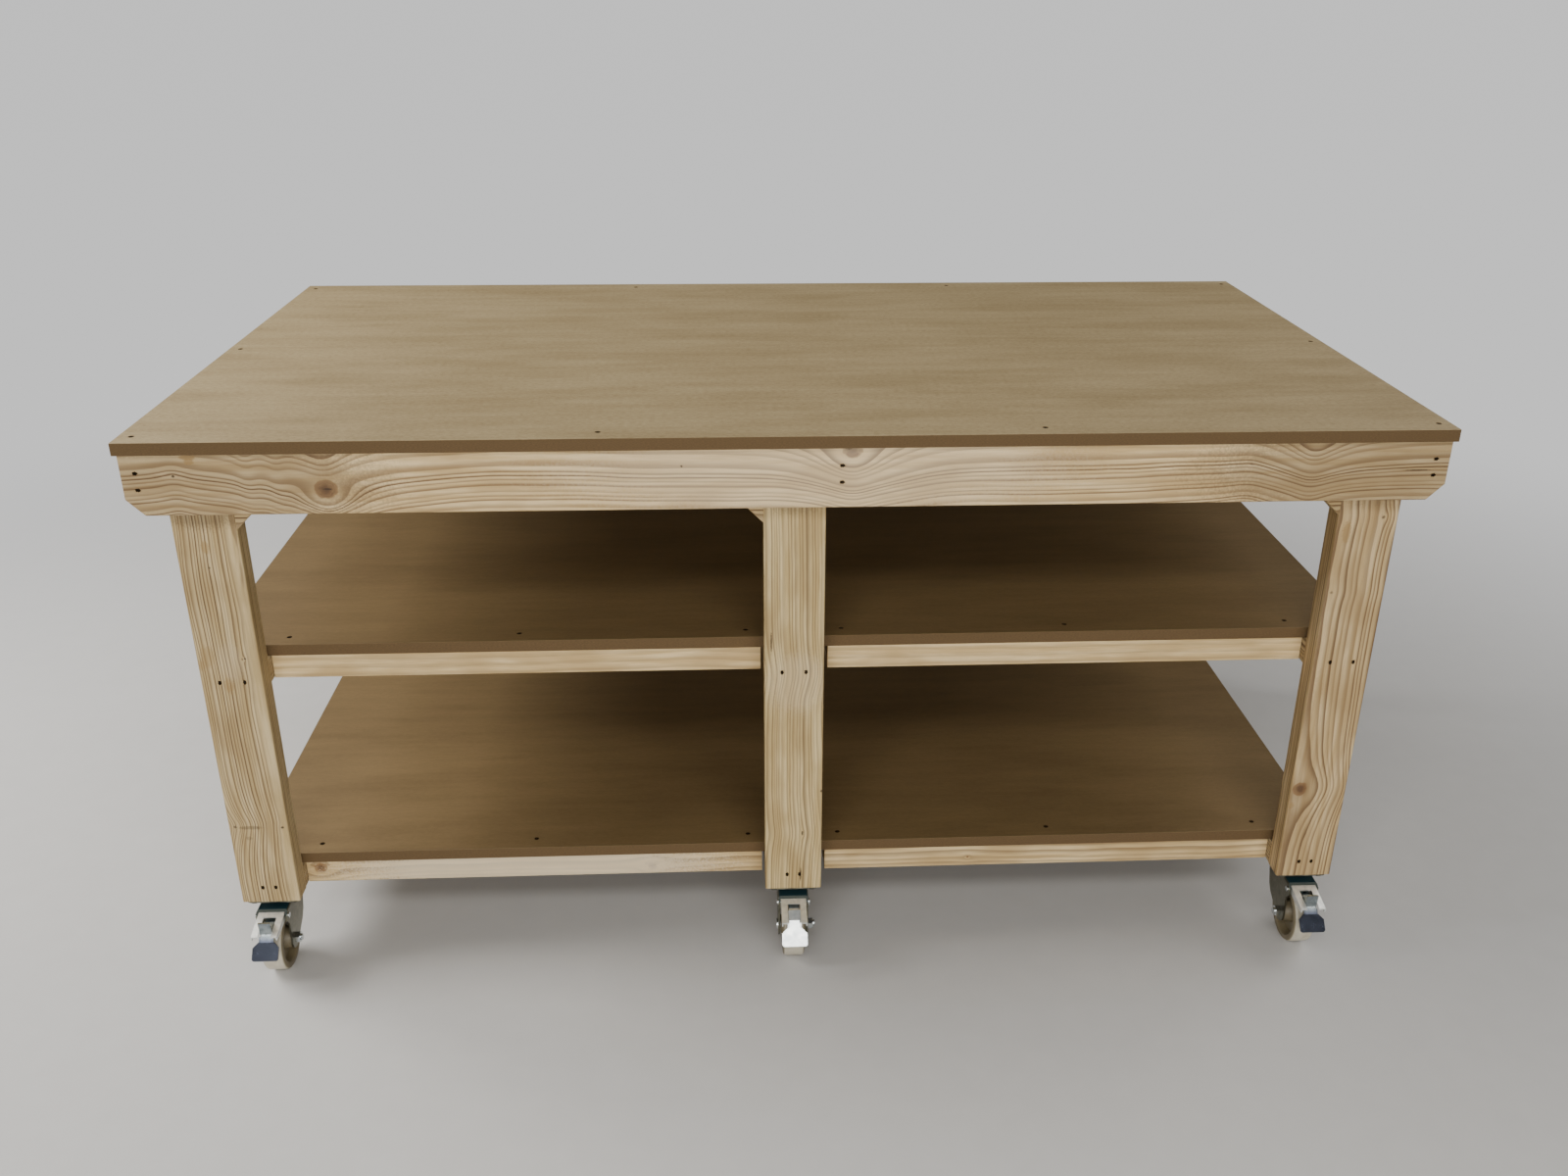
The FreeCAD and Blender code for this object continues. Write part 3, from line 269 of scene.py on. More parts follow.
def new_group(name, takes, gives):
    """Shader node group with named sockets; returns its graph, inputs and output node."""
    tree = bpy.data.node_groups.new(name, "ShaderNodeTree")
    for label, (kind, default) in takes.items():
        socket = tree.interface.new_socket(label, in_out="INPUT",
                                           socket_type=SOCKET_KINDS[kind])
        socket.default_value = default
    for label, kind in gives.items():
        tree.interface.new_socket(label, in_out="OUTPUT", socket_type=SOCKET_KINDS[kind])
    graph = Graph(tree)
    entry = graph.make("NodeGroupInput")
    leave = graph.make("NodeGroupOutput")
    return graph, entry.outputs, leave.inputs


def linear(red, green, blue):
    """Linear colour of a display colour that is given from 0 to 255, by the sRGB curve."""
    channels = []
    for value in (red, green, blue):
        share = value / 255
        channels.append(share / 12.92 if share <= 0.04045 else ((share + 0.055) / 1.055) ** 2.4)
    return (*channels, 1.0)


def new_material(name):
    """Material with its Principled shader; returns the material, its graph and the shader."""
    material = bpy.data.materials.new(name)
    material.use_nodes = True
    shader = material.node_tree.nodes["Principled BSDF"]
    return material, Graph(material.node_tree), shader


def finish_bump(graph, shader, height, depth):
    """Relief: the height map lifts the surface by up to depth, in metres."""
    bump = graph.make("ShaderNodeBump")
    bump.inputs["Strength"].default_value = 1.0
    bump.inputs["Distance"].default_value = depth
    graph.feed(bump.inputs["Height"], height)
    graph.feed(shader.inputs["Normal"], bump.outputs[0])


def dress(piece, material):
    """Give a piece one material all over."""
    piece.data.materials.clear()
    piece.data.materials.append(material)


print("mid grey is", round(linear(128, 128, 128)[0], 3), "in linear light")

# %% [markdown]
# ## Pine: growth rings that flow round knots
# A board is a slice of a log. Its rings are a family of nested tubes round the pith, and the
# lines on a face are where the saw cut them. So the pattern is worked out in three
# dimensions: the distance of a point from a slightly wandering pith, divided by the width of
# a ring, and the lines on two faces of a board then meet at its edge as they do in wood.
# A trunk adds thinner rings as it grows, so the count is distance / width + tighten *
# distance^2.

# %% [markdown]
# A knot is a branch that the rings had to grow round. Water that flows round a post does the
# same, so the formula for that flow bends the rings: across' = across - R^2 across / (rho^2 +
# calm R^2), where R is the reach, and calm keeps the bend small at the branch itself.
# Beside a branch the whole trunk also swells, which pulls the lines of a flat face away from
# the pith in a long dip: shift = dip / (1 + (distance along / spread)^1.5). The tip of the dip
# is rounded, and on the side of the pith it fades to a share of its depth.

# %% Knot group
CALM = 0.35
DIP_TIP = 5.0
DIP_FADE, DIP_INSIDE = -85.0, 0.40
knot_graph, given, result = new_group(
    "knot",
    {"Place": ("vector", (0, 0, 0)), "Centre": ("vector", (0, 0, 0)),
     "Radius": ("float", 10.0), "Reach": ("float", 18.0), "Dip": ("float", 0.0),
     "Spread": ("float", 40.0), "Shift": ("float", 0.0),
     "Wood": ("float", 0.0), "Heart": ("float", 0.0)},
    {"Shift": "float", "Wood": "float", "Heart": "float"})
g = knot_graph
offset = g.vector("SUBTRACT", given["Place"], given["Centre"])
along, across, deep = g.parts(offset)
ragged = g.noise(given["Place"], scale=0.12, detail=2.0)
ragged = g.times(g.minus(ragged, 0.5), g.times(given["Radius"], 0.5))
rho_squared = g.sum(g.square(g.times(along, 0.62)), g.square(across),
                    g.square(g.times(deep, 0.25)), 1.0)
rho = g.math("SQRT", g.sum(g.square(g.times(along, 0.85)), g.square(across),
                           g.square(g.times(deep, 0.2))))
rho = g.sum(rho, ragged)
reach_squared = g.square(given["Reach"])
push = g.over(g.times(reach_squared, across), g.sum(rho_squared, g.times(reach_squared, CALM)))
away = g.minus(g.math("SQRT", g.sum(g.square(along), DIP_TIP ** 2)), DIP_TIP)
dip = g.over(given["Dip"], g.sum(1.0, g.math("POWER", g.over(away, given["Spread"]), 1.5)))
outward = g.times(across, g.math("SIGN", given["Dip"]))
dip = g.times(dip, g.step(outward, DIP_FADE, 0.0, DIP_INSIDE, 1.0))
g.feed(result["Shift"], g.minus(g.sum(given["Shift"], push), dip))
wood = g.step(rho, g.times(given["Radius"], 0.8), given["Radius"], 1.0, 0.0)
g.feed(result["Wood"], g.math("MAXIMUM", given["Wood"], wood))
heart = g.step(rho, g.times(given["Radius"], 0.15), g.times(given["Radius"], 0.75), 1.0, 0.0)
g.feed(result["Heart"], g.math("MAXIMUM", given["Heart"], heart))
knot_group = knot_graph.tree
print("knot group has", len(knot_group.nodes), "nodes")

# %% [markdown]
# The pine itself comes in two steps. The first counts the rings. Late wood is the dark part of
# each: it thickens slowly through the year and ends sharply, and some years leave more of it.

# %% Pine group: rings
pine_graph, given, result = new_group(
    "pine",
    {"Place": ("vector", (0, 0, 0)), "Pith": ("vector", (0, 0, 0)),
     "Ring Width": ("float", 4.5), "Tighten": ("float", 0.0), "Wander": ("float", 8.0),
     "Seed": ("float", 0.0), "Shift": ("float", 0.0), "Wood": ("float", 0.0),
     "Heart": ("float", 0.0), "End Grain": ("float", 0.0), "Contrast": ("float", 1.0),
     "Tone": ("colour", (1, 1, 1, 1))},
    {"Color": "colour", "Roughness": "float", "Height": "float"})
g = pine_graph
along, across, deep = g.parts(given["Place"])
sway_place = g.point(g.sum(g.times(along, 0.0045), given["Seed"]), g.times(across, 0.004),
                     g.times(deep, 0.004))
sway_across = g.times(g.minus(g.noise(sway_place, detail=1.0), 0.5), given["Wander"], 2.0)
sway_place = g.point(g.sum(g.times(along, 0.006), 40.0, given["Seed"]),
                     g.times(across, 0.01), g.times(deep, 0.01))
sway_deep = g.times(g.minus(g.noise(sway_place, detail=1.0), 0.5), given["Wander"], 1.5)
pith = g.parts(given["Pith"])
from_across = g.sum(g.minus(g.minus(across, pith[1]), given["Shift"]), sway_across)
from_deep = g.sum(g.minus(deep, pith[2]), sway_deep)
distance = g.math("SQRT", g.sum(g.square(from_across), g.square(from_deep)))
fine_place = g.point(g.sum(g.times(along, 0.012), given["Seed"]), g.times(across, 0.12),
                     g.times(deep, 0.12))
ripple = g.times(g.minus(g.noise(fine_place, detail=2.0), 0.5), 1.6)
distance = g.sum(distance, ripple)
rings = g.sum(g.over(distance, given["Ring Width"]),
              g.times(g.square(distance), given["Tighten"]))
uneven = g.noise(g.point(g.times(rings, 0.37), given["Seed"], 0.0), detail=0.0)
rings = g.sum(rings, g.times(uneven, 2.2))
year = g.math("FLOOR", rings)
season = g.math("FRACT", rings)
late = g.times(g.step(season, 0.30, 0.90), g.step(season, 0.93, 1.0, 1.0, 0.0))
year_share = g.noise(g.point(g.times(year, 7.31), given["Seed"], 3.0), detail=0.0)
late = g.times(late, g.step(year_share, 0.30, 0.65, 0.45, 1.0))
print("nodes for the rings:", len(pine_graph.tree.nodes))

# %% [markdown]
# The second step colours them. Pale wood varies in streaks and blotches, fine fibres lie over
# it, and a knot has rings of its own round a dark heart. Each timber's tone multiplies it all.

# %% Pine group: colour
fibre_place = g.point(g.times(along, 0.035), g.times(across, 2.2), g.times(deep, 2.2))
fibre = g.noise(fibre_place, detail=3.0, roughness=0.6)
streak_place = g.point(g.sum(g.times(along, 0.006), given["Seed"]), g.times(across, 0.10),
                       g.times(deep, 0.10))
streak = g.noise(streak_place, detail=3.0, roughness=0.6)
blotch_place = g.point(g.sum(g.times(along, 0.008), given["Seed"], 9.0),
                       g.times(across, 0.02), g.times(deep, 0.02))
blotch = g.noise(blotch_place, detail=2.0)
pale = g.blend(g.step(streak, 0.32, 0.68), linear(206, 186, 146), linear(180, 156, 112))
pale = g.blend(g.step(blotch, 0.42, 0.68, 0.0, 0.8), pale, linear(170, 146, 104))
dark = g.blend(g.step(year_share, 0.35, 0.65), linear(110, 84, 53), linear(88, 63, 37))
colour = g.blend(g.times(late, given["Contrast"]), pale, dark)
colour = g.blend(g.step(fibre, 0.45, 0.75, 0.0, 0.30), colour, linear(104, 80, 50))
knot_rings = g.math("SINE", g.times(given["Heart"], 24.0))
knot_tone = g.blend(g.step(knot_rings, -0.4, 0.8, 0.0, 0.7), linear(124, 90, 53),
                    linear(88, 60, 35))
colour = g.blend(g.times(given["Wood"], 0.75), colour, knot_tone)
colour = g.blend(g.times(given["Heart"], 0.7), colour, linear(66, 43, 25))
end_tone = g.blend(0.35, colour, linear(128, 98, 60))
colour = g.blend(given["End Grain"], colour, end_tone)
colour = g.blend(1.0, colour, given["Tone"], kind="MULTIPLY")
g.feed(result["Color"], colour)
g.feed(result["Roughness"], g.sum(0.60, g.times(late, -0.08), g.times(fibre, 0.12)))
g.feed(result["Height"], g.sum(g.times(late, 0.35), g.times(fibre, 0.5),
                               g.times(given["Heart"], -0.3)))
pine_group = pine_graph.tree
print("pine group has", len(pine_group.nodes), "nodes")

# %% [markdown]
# Resin streaks, knocks, nail holes, small splits and paler wood are soft-edged spots that lie
# on one face, and broad spots of the same kind paint shade and light on it. Each is an ellipsoid:
# the offset from its centre is divided by its half sizes, and noise is added to the length of
# that to make the outline ragged. Under 0.55 the spot is solid, and at one it has gone.

# %% Spot group
spot_graph, given, result = new_group(
    "spot",
    {"Place": ("vector", (0, 0, 0)), "Centre": ("vector", (0, 0, 0)),
     "Size": ("vector", (10, 10, 10)), "Strength": ("float", 0.5),
     "Tone": ("colour", (0, 0, 0, 1)), "Color": ("colour", (1, 1, 1, 1))},
    {"Color": "colour"})
g = spot_graph
offset = g.vector("DIVIDE", g.vector("SUBTRACT", given["Place"], given["Centre"]), given["Size"])
ragged = g.noise(given["Place"], scale=0.35, detail=3.0, roughness=0.6)
length = g.sum(g.vector("LENGTH", offset), g.times(g.minus(ragged, 0.5), 0.9))
spot = g.times(g.step(length, 0.55, 1.0, 1.0, 0.0), given["Strength"])
g.feed(result["Color"], g.blend(spot, given["Color"], given["Tone"]))
spot_group = spot_graph.tree
print("spot group has", len(spot_group.nodes), "nodes")

# %% [markdown]
# Each timber then needs only a few facts of its own: which way its grain and its face lie,
# where the pith ran, how wide its rings are, and where its knots and spots sit.

# %% Pine for one timber
AXES = {"x": 0, "y": 1, "z": 2}
NO_DIP = (0.0, 40.0)
SPOT_DEPTH = 6.0
PINE_RELIEF = 0.0004


def pine(name, grain, face, pith, ring_width, seed, knots=(), spots=(), wander=8.0,
         tighten=0.0, contrast=1.0, tone=(1, 1, 1)):
    """Pine for one timber. grain is the axis along it and face the axis across its shown
    side; pith is the place of the log's centre across and behind that side, in millimetres.
    knots are (along, across, deep, radius, reach) and may add the dip of the lines beside
    them and its spread; spots are (along, across, deep, half length, half width, strength,
    tone)."""
    material, graph, shader = new_material(name)
    place = graph.parts(graph.place_mm())
    facing = graph.parts(graph.facing())
    third = ({"x", "y", "z"} - {grain, face}).pop()
    board = graph.point(place[AXES[grain]], place[AXES[face]], place[AXES[third]])
    shift, wood, heart = 0.0, 0.0, 0.0
    for along, across, deep, radius, reach, *bend in knots:
        dip, spread = bend or NO_DIP
        found = graph.group(knot_group, Place=board, Centre=(along, across, deep),
                            Radius=radius, Reach=reach, Dip=dip, Spread=spread,
                            Shift=shift, Wood=wood, Heart=heart)
        shift, wood, heart = found["Shift"], found["Wood"], found["Heart"]
    end = graph.step(graph.math("ABSOLUTE", facing[AXES[grain]]), 0.7, 0.9)
    found = graph.group(pine_group, Place=board, Pith=(0, *pith),
                        Ring_Width=ring_width, Tighten=tighten, Wander=wander, Seed=seed,
                        Shift=shift, Wood=wood, Heart=heart, End_Grain=end,
                        Contrast=contrast, Tone=(*tone, 1))
    colour = found["Color"]
    for along, across, deep, length, width, strength, spot_tone in spots:
        colour = graph.group(spot_group, Place=board, Centre=(along, across, deep),
                             Size=(length, width, SPOT_DEPTH), Strength=strength, Tone=spot_tone,
                             Color=colour)["Color"]
    graph.feed(shader.inputs["Base Color"], colour)
    graph.feed(shader.inputs["Roughness"], found["Roughness"])
    finish_bump(graph, shader, found["Height"], PINE_RELIEF)
    return material


print("pine has", len(pine_group.interface.items_tree), "sockets to set and to read")

# %% [markdown]
# The front rail and legs are seen best, so each has its own list. A knot of half a
# millimetre is too small to show: it only bends the lines, as a knot deeper in the wood does.
# Small dark spots are nail holes, stains and splits, amber ones resin, and pale ones clean wood.
# The broad dark spots at the ends of the rail and at the top of each leg, under the rail, are
# painted shade, and the broad pale ones in the middle of the rail and on the left of the bottom
# battens are painted light.

# %% The front rail
RAIL_FACE, LEG_FACE, BATTEN_FACE = -490, -452, -402
# The dark tone serves nail holes and stains and also painted shade; the pale tone serves clean
# wood and also painted light.
DARK_MARK_AND_SHADE, AMBER, PALE_WOOD_AND_LIGHT = linear(66, 47, 29), linear(154, 122, 72), linear(228, 212, 184)
dress(nodes["front_top_rail"], pine(
    "pine_front_rail", "x", "z", (955, -475), 36.0, 3.0, tighten=0.00042,
    tone=(1.46, 1.42, 1.36),
    knots=[(-643, 829, RAIL_FACE, 15, 20, 50, 45), (72, 877, RAIL_FACE, 13, 18, 60, 50),
           (718, 886, RAIL_FACE, 1, 6, 52, 40), (-746, 890, RAIL_FACE, 0.5, 1, 15, 13),
           (-706, 893, RAIL_FACE, 0.5, 1, 13, 12), (-843, 850, RAIL_FACE, 0.5, 2, -9, 22),
           (630, 850, RAIL_FACE, 0.5, 1, -12, 42)],
    # The broad dark spots at both ends are painted shade and the broad pale one in the middle is
    # painted light: the front light falls off towards the ends.
    spots=[(-790, 838, RAIL_FACE, 270, 90, 0.38, DARK_MARK_AND_SHADE),
           (800, 838, RAIL_FACE, 290, 90, 0.40, DARK_MARK_AND_SHADE),
           (20, 850, RAIL_FACE, 430, 90, 0.26, PALE_WOOD_AND_LIGHT), (-820, 876, RAIL_FACE, 15, 4, 0.75, AMBER),
           (-819, 870, RAIL_FACE, 8, 6, 0.7, AMBER), (-843, 850, RAIL_FACE, 2.6, 2.4, 0.9, DARK_MARK_AND_SHADE),
           (-162, 856, RAIL_FACE, 2.2, 2.2, 0.8, DARK_MARK_AND_SHADE), (868, 838, RAIL_FACE, 26, 1.2, 0.9, DARK_MARK_AND_SHADE),
           (-641, 829, RAIL_FACE, 7, 2, 0.9, DARK_MARK_AND_SHADE), (66, 880, RAIL_FACE, 7, 3, 0.8, DARK_MARK_AND_SHADE)]))
print("front rail:", len(nodes["front_top_rail"].data.vertices), "corners")

# %% The front legs
dress(nodes["front_left_leg"], pine(
    "pine_front_left_leg", "z", "x", (-790, -470), 4.4, 11.0, tone=(1.13, 1.13, 1.08),
    knots=[(268, -860, LEG_FACE, 0.5, 2, -10, 20), (264, -794, LEG_FACE, 0.5, 2, 10, 20),
           (265, -830, LEG_FACE, 0.5, 2, -14, 40), (555, -808, LEG_FACE, 0.5, 3)],
    spots=[(731, -833, LEG_FACE, 12, 7, 0.55, AMBER), (560, -858, LEG_FACE, 22, 12, 0.4, AMBER),
           (546, -868, LEG_FACE, 12, 5, 0.5, AMBER), (513, -834, LEG_FACE, 16, 9, 0.5, AMBER),
           (550, -826, LEG_FACE, 40, 22, 0.12, PALE_WOOD_AND_LIGHT), (266, -842, LEG_FACE, 4, 22, 0.45, DARK_MARK_AND_SHADE),
           (268, -864, LEG_FACE, 3, 3, 0.7, DARK_MARK_AND_SHADE), (265, -793, LEG_FACE, 2.5, 3, 0.9, DARK_MARK_AND_SHADE),
           (247, -846, LEG_FACE, 4, 6, 0.3, DARK_MARK_AND_SHADE), (556, -805, LEG_FACE, 2, 2, 0.9, DARK_MARK_AND_SHADE),
           # The last spot, at the top of the leg just under the rail, is a painted shadow of the
           # rail.
           (700, -832, LEG_FACE, 2, 2, 0.7, DARK_MARK_AND_SHADE), (790, -830, LEG_FACE, 40, 60, 0.36, DARK_MARK_AND_SHADE)]))
dress(nodes["front_middle_leg"], pine(
    "pine_front_middle_leg", "z", "x", (60, -430), 5.0, 17.0, contrast=0.72,
    tone=(1.20, 1.20, 1.08),
    knots=[(231, 8, LEG_FACE, 0.5, 3, -4, 20), (515, 10, LEG_FACE, 0.5, 2, -8, 40),
           (470, 24, LEG_FACE, 0.5, 2, 5, 30)],
    spots=[(566, -39, LEG_FACE, 22, 1.3, 0.95, DARK_MARK_AND_SHADE), (154, 6.6, LEG_FACE, 16, 1.4, 0.95, DARK_MARK_AND_SHADE),
           (232, 9, LEG_FACE, 5, 2, 0.85, DARK_MARK_AND_SHADE), (309, 38, LEG_FACE, 3, 2, 0.8, DARK_MARK_AND_SHADE),
           # The last spot, at the top of the leg just under the rail, is a painted shadow of the
           # rail.
           (500, 0, LEG_FACE, 60, 60, 0.18, PALE_WOOD_AND_LIGHT), (790, -5, LEG_FACE, 24, 60, 0.30, DARK_MARK_AND_SHADE)]))
dress(nodes["front_right_leg"], pine(
    "pine_front_right_leg", "z", "x", (765, -395), 6.6, 23.0, wander=5.0, contrast=0.85,
    tone=(1.17, 1.12, 1.07),
    knots=[(293, 799, LEG_FACE, 12, 16, -44, 45), (753, 852, LEG_FACE, 0.5, 5, -5, 20),
           (634, 794, LEG_FACE, 0.5, 3, -4, 18)],
    spots=[(730, 801, LEG_FACE, 22, 8, 0.6, AMBER), (753, 852, LEG_FACE, 3, 3, 0.7, DARK_MARK_AND_SHADE),
           (634, 794, LEG_FACE, 3, 3, 0.5, DARK_MARK_AND_SHADE), (262, 790, LEG_FACE, 8, 5, 0.5, AMBER),
           # The last spot, at the top of the leg just under the rail, is a painted shadow of the
           # rail.
           (440, 800, LEG_FACE, 90, 9, 0.3, AMBER), (790, 830, LEG_FACE, 24, 60, 0.24, DARK_MARK_AND_SHADE)]))
print("front timbers:", len([m for m in bpy.data.materials if m.name.startswith("pine_front")]))

# %% [markdown]
# The timbers behind them are cut from other logs. From the left frame to the middle and the
# right one, the seed, the knot and the place of the pith move on by one step each time.

# %% The rear rail and legs, cross rails and bearers
LEG_CENTRES = {"left": -829.5, "middle": -5, "right": 829.5}
BEARER_CENTRES = {"middle": 517, "bottom": 147}
SHADED_PINE = (1.18, 1.16, 1.1)
dress(nodes["rear_top_rail"], pine(
    "pine_rear_rail", "x", "z", (780, 430), 8.0, 31.0, tone=(1.36, 1.33, 1.28),
    knots=[(-300, 850, -RAIL_FACE, 11, 26), (520, 812, -RAIL_FACE, 13, 28)]))
for step, (where, centre) in enumerate(LEG_CENTRES.items()):
    dress(nodes["rear_%s_leg" % where], pine(
        "pine_rear_%s_leg" % where, "z", "x", (centre + 70 - 60 * step, 425),
        5.0 + step * 0.5, 41.0 + step * 7, tone=(1.18, 1.17, 1.1),
        knots=[(330 + 120 * step, centre + 12, -LEG_FACE, 9, 22)]))
    dress(nodes["%s_cross_rail" % where], pine(
        "pine_%s_cross_rail" % where, "y", "z", (770 + 60 * step, centre), 5.4,
        61.0 + step * 5, tone=SHADED_PINE, knots=[(-150 + 210 * step, 840, centre, 10, 24)]))
    for level, height in BEARER_CENTRES.items():
        dress(nodes["%s_%s_bearer" % (level, where)], pine(
            "pine_%s_%s_bearer" % (level, where), "y", "x", (centre + 30, height - 60), 4.2,
            71.0 + step * 9 + height / 100))
print("legs, cross rails and bearers for", len(LEG_CENTRES), "frames")

# %% Battens and braces
dress(nodes["middle_shelf_battens"], pine(
    "pine_middle_battens", "x", "z", (600, -450), 11.0, 83.0, contrast=0.5,
    tone=(1.42, 1.38, 1.30)))
dress(nodes["bottom_shelf_battens"], pine(
    "pine_bottom_battens", "x", "z", (90, -380), 10.0, 89.0, contrast=0.6,
    tone=(1.36, 1.32, 1.25),
    knots=[(-762, 155, BATTEN_FACE, 10, 18), (-232, 143, BATTEN_FACE, 7, 14),
           (284, 145, BATTEN_FACE, 2, 5)],
    # The broad pale spot on the left is painted light from the front.
    spots=[(-430, 147, BATTEN_FACE, 360, 60, 0.7, PALE_WOOD_AND_LIGHT)]))
dress(nodes["corner_gussets"], pine(
    "pine_gussets", "x", "z", (760, -430), 5.5, 97.0, tone=SHADED_PINE))
print("pine on", len([m for m in bpy.data.materials if m.name.startswith("pine")]), "timbers")

# %% [markdown]
# ## Torn fibres round the sunk screws
# A screw that is driven below the face drags fibres in with it, and they half cover its head.
# Each collar is a ragged funnel in the mouth of the screw's bore. Fibres tear along the grain,
# so the opening that they leave is longer that way.

# %% Fibre collars
COLLAR_RIM, COLLAR_SINK = 4.7, 0.9
COLLAR_TURNS, COLLAR_STEPS = 48, 6
LIP_ACROSS, LIP_ALONG = 2.4, 1.1
LIP_WAVES = ((0.30, 5, 1), (0.22, 9, 2), (0.12, 17, 0))


def fibre_collars(timber, face, out, grain_turn, places):
    """Collars for the screws of one timber. The face lies at y = face and looks to out (-1 or
    1); grain_turn is the angle of the grain from x; places are (x, z) in millimetres.
    With s from 0 at the rim to 1 at the lip, radius = rim + (lip - rim) s and depth = sink s,
    where lip = across + along cos^2(angle from the grain) + the waves. Each wave is height
    sin(count angle + share phase), and the phase differs from screw to screw."""
    turn = np.linspace(0, 2 * math.pi, COLLAR_TURNS, endpoint=False)
    share = np.linspace(0, 1, COLLAR_STEPS)[:, None]
    x, z = np.array(places, dtype=float).T[:, :, None, None]
    phase = 0.7 * x + 1.3 * z
    lip = LIP_ACROSS + LIP_ALONG * np.cos(turn - grain_turn) ** 2
    for height, count, phase_share in LIP_WAVES:
        lip = lip + height * np.sin(count * turn + phase_share * phase)
    radius = COLLAR_RIM + (lip - COLLAR_RIM) * share
    depth = np.broadcast_to(COLLAR_SINK * share, radius.shape)
    corners = np.stack([x + radius * np.cos(turn), face - out * depth,
                        z + radius * np.sin(turn)], axis=-1)
    here = np.arange(radius.size).reshape(radius.shape)
    beside = np.roll(here, -1, axis=2)
    quads = np.stack([here[:, :-1], beside[:, :-1], beside[:, 1:], here[:, 1:]], axis=-1)
    quads = quads.reshape(-1, 4)[:, ::1 if out > 0 else -1]
    mesh = bpy.data.meshes.new(timber + "_fibre_collars")
    mesh.from_pydata((corners.reshape(-1, 3) * MM).tolist(), [], quads.tolist())
    collars = bpy.data.objects.new(timber + "_fibre_collars", mesh)
    bpy.context.scene.collection.objects.link(collars)
    dress(collars, nodes[timber].data.materials[0])
    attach(collars, "table")
    print(collars.name, "has", len(places), "collars")


UPRIGHT = math.pi / 2
RAIL_SCREWS = [(x, z) for x in (-893, 58.5, 893) for z in (830, 854)]
LEG_SCREW_COLUMNS = {"left": (-847.5, -811.5, -839.5, -819.5), "middle": (-23, 13, -15, 5),
                     "right": (811.5, 847.5, 819.5, 839.5)}
LEG_SCREW_HEIGHTS = (517, 517, 154, 154)
for side, out in (("front", -1), ("rear", 1)):
    fibre_collars(side + "_top_rail", -RAIL_FACE * out, out, 0.0, RAIL_SCREWS)
    for where, columns in LEG_SCREW_COLUMNS.items():
        fibre_collars("%s_%s_leg" % (side, where), -LEG_FACE * out, out, UPRIGHT,
                      list(zip(columns, LEG_SCREW_HEIGHTS)))

# %% [markdown]
# ## MDF: a pressed board of fine fibres
# The face of the board was sanded and shows pale, short fibres that lie along its length. Its
# sawn edge cuts through the softer core, which is darker and drinks in the light.

# %% MDF materials
FLECK, CORE, SAWN = linear(92, 74, 48), linear(72, 54, 32), linear(104, 82, 51)
MDF_RELIEF = 0.00012


def fibreboard(name, seed, face_tone, face_spot, edge_tone, grain=1.0):
    """MDF: a face streaked and speckled by as much as grain says, and a darker sawn edge."""
    material, graph, shader = new_material(name)
    place = graph.place_mm()
    along, across, up = graph.parts(place)
    speck_place = graph.point(graph.sum(graph.times(along, 0.12), seed),
                              graph.times(across, 0.34), graph.times(up, 0.34))
    speck = graph.noise(speck_place, detail=4.0, roughness=0.7)
    streak_place = graph.point(graph.sum(graph.times(along, 0.005), seed),
                               graph.times(across, 0.05), 0.0)
    streak = graph.noise(streak_place, detail=5.0, roughness=0.7)
    cloud_place = graph.point(graph.sum(graph.times(along, 0.003), seed, 5.0),
                              graph.times(across, 0.012), 0.0)
    cloud = graph.noise(cloud_place, detail=3.0, roughness=0.6)
    spotted = graph.sum(graph.step(speck, 0.25, 0.75, 0.0, 0.5 * grain),
                        graph.step(streak, 0.30, 0.70, 0.0, 0.20),
                        graph.step(cloud, 0.35, 0.70, 0.0, 0.25))
    face = graph.blend(spotted, face_tone, face_spot)
    fleck_place = graph.point(graph.sum(graph.times(along, 0.12), seed), graph.times(across, 0.5),
                              graph.times(up, 0.5))
    fleck = graph.noise(fleck_place, detail=2.0, roughness=0.6)
    face = graph.blend(graph.step(fleck, 0.58, 0.72, 0.0, 0.45 * grain), face, FLECK)
    facing = graph.parts(graph.facing())
    edge = graph.step(graph.math("ABSOLUTE", facing[2]), 0.35, 0.75, 1.0, 0.0)
    core_place = graph.point(graph.times(along, 0.30), graph.times(across, 0.30),
                             graph.times(up, 1.1))
    core = graph.noise(core_place, detail=3.0, roughness=0.6)
    edge_colour = graph.blend(graph.step(core, 0.3, 0.7, 0.0, 0.45), edge_tone, CORE)
    colour = graph.blend(edge, face, edge_colour)
    graph.feed(shader.inputs["Base Color"], colour)
    graph.feed(shader.inputs["Roughness"], graph.between(edge, 0.62, 0.85))
    finish_bump(graph, shader, speck, MDF_RELIEF)
    return material


dress(nodes["worktop_board"], fibreboard(
    "mdf_worktop", 2.0, linear(182, 164, 127), linear(130, 110, 73), SAWN))
SHELF_TONES = (linear(131, 109, 73), linear(96, 77, 46))
for level, seed in (("middle", 7.0), ("bottom", 13.0)):
    dress(nodes[level + "_shelf_board"],
          fibreboard("mdf_%s_shelf" % level, seed, *SHELF_TONES, SAWN, grain=0.5))
print("boards:", len([m for m in bpy.data.materials if m.name.startswith("mdf")]))

# %% [markdown]
# ## Metal and nylon
# Zinc plate is a clear metal with a faint cloudy haze. The pressed forks are darker than the
# hoods, and the faces on them that look up carry a painted blue-green reflection. The feet of the
# outer pedals carry a painted dark blue reflection, the screws are dark, and the wheels are cast
# in cream nylon with painted shade on their sides and inside the rim.

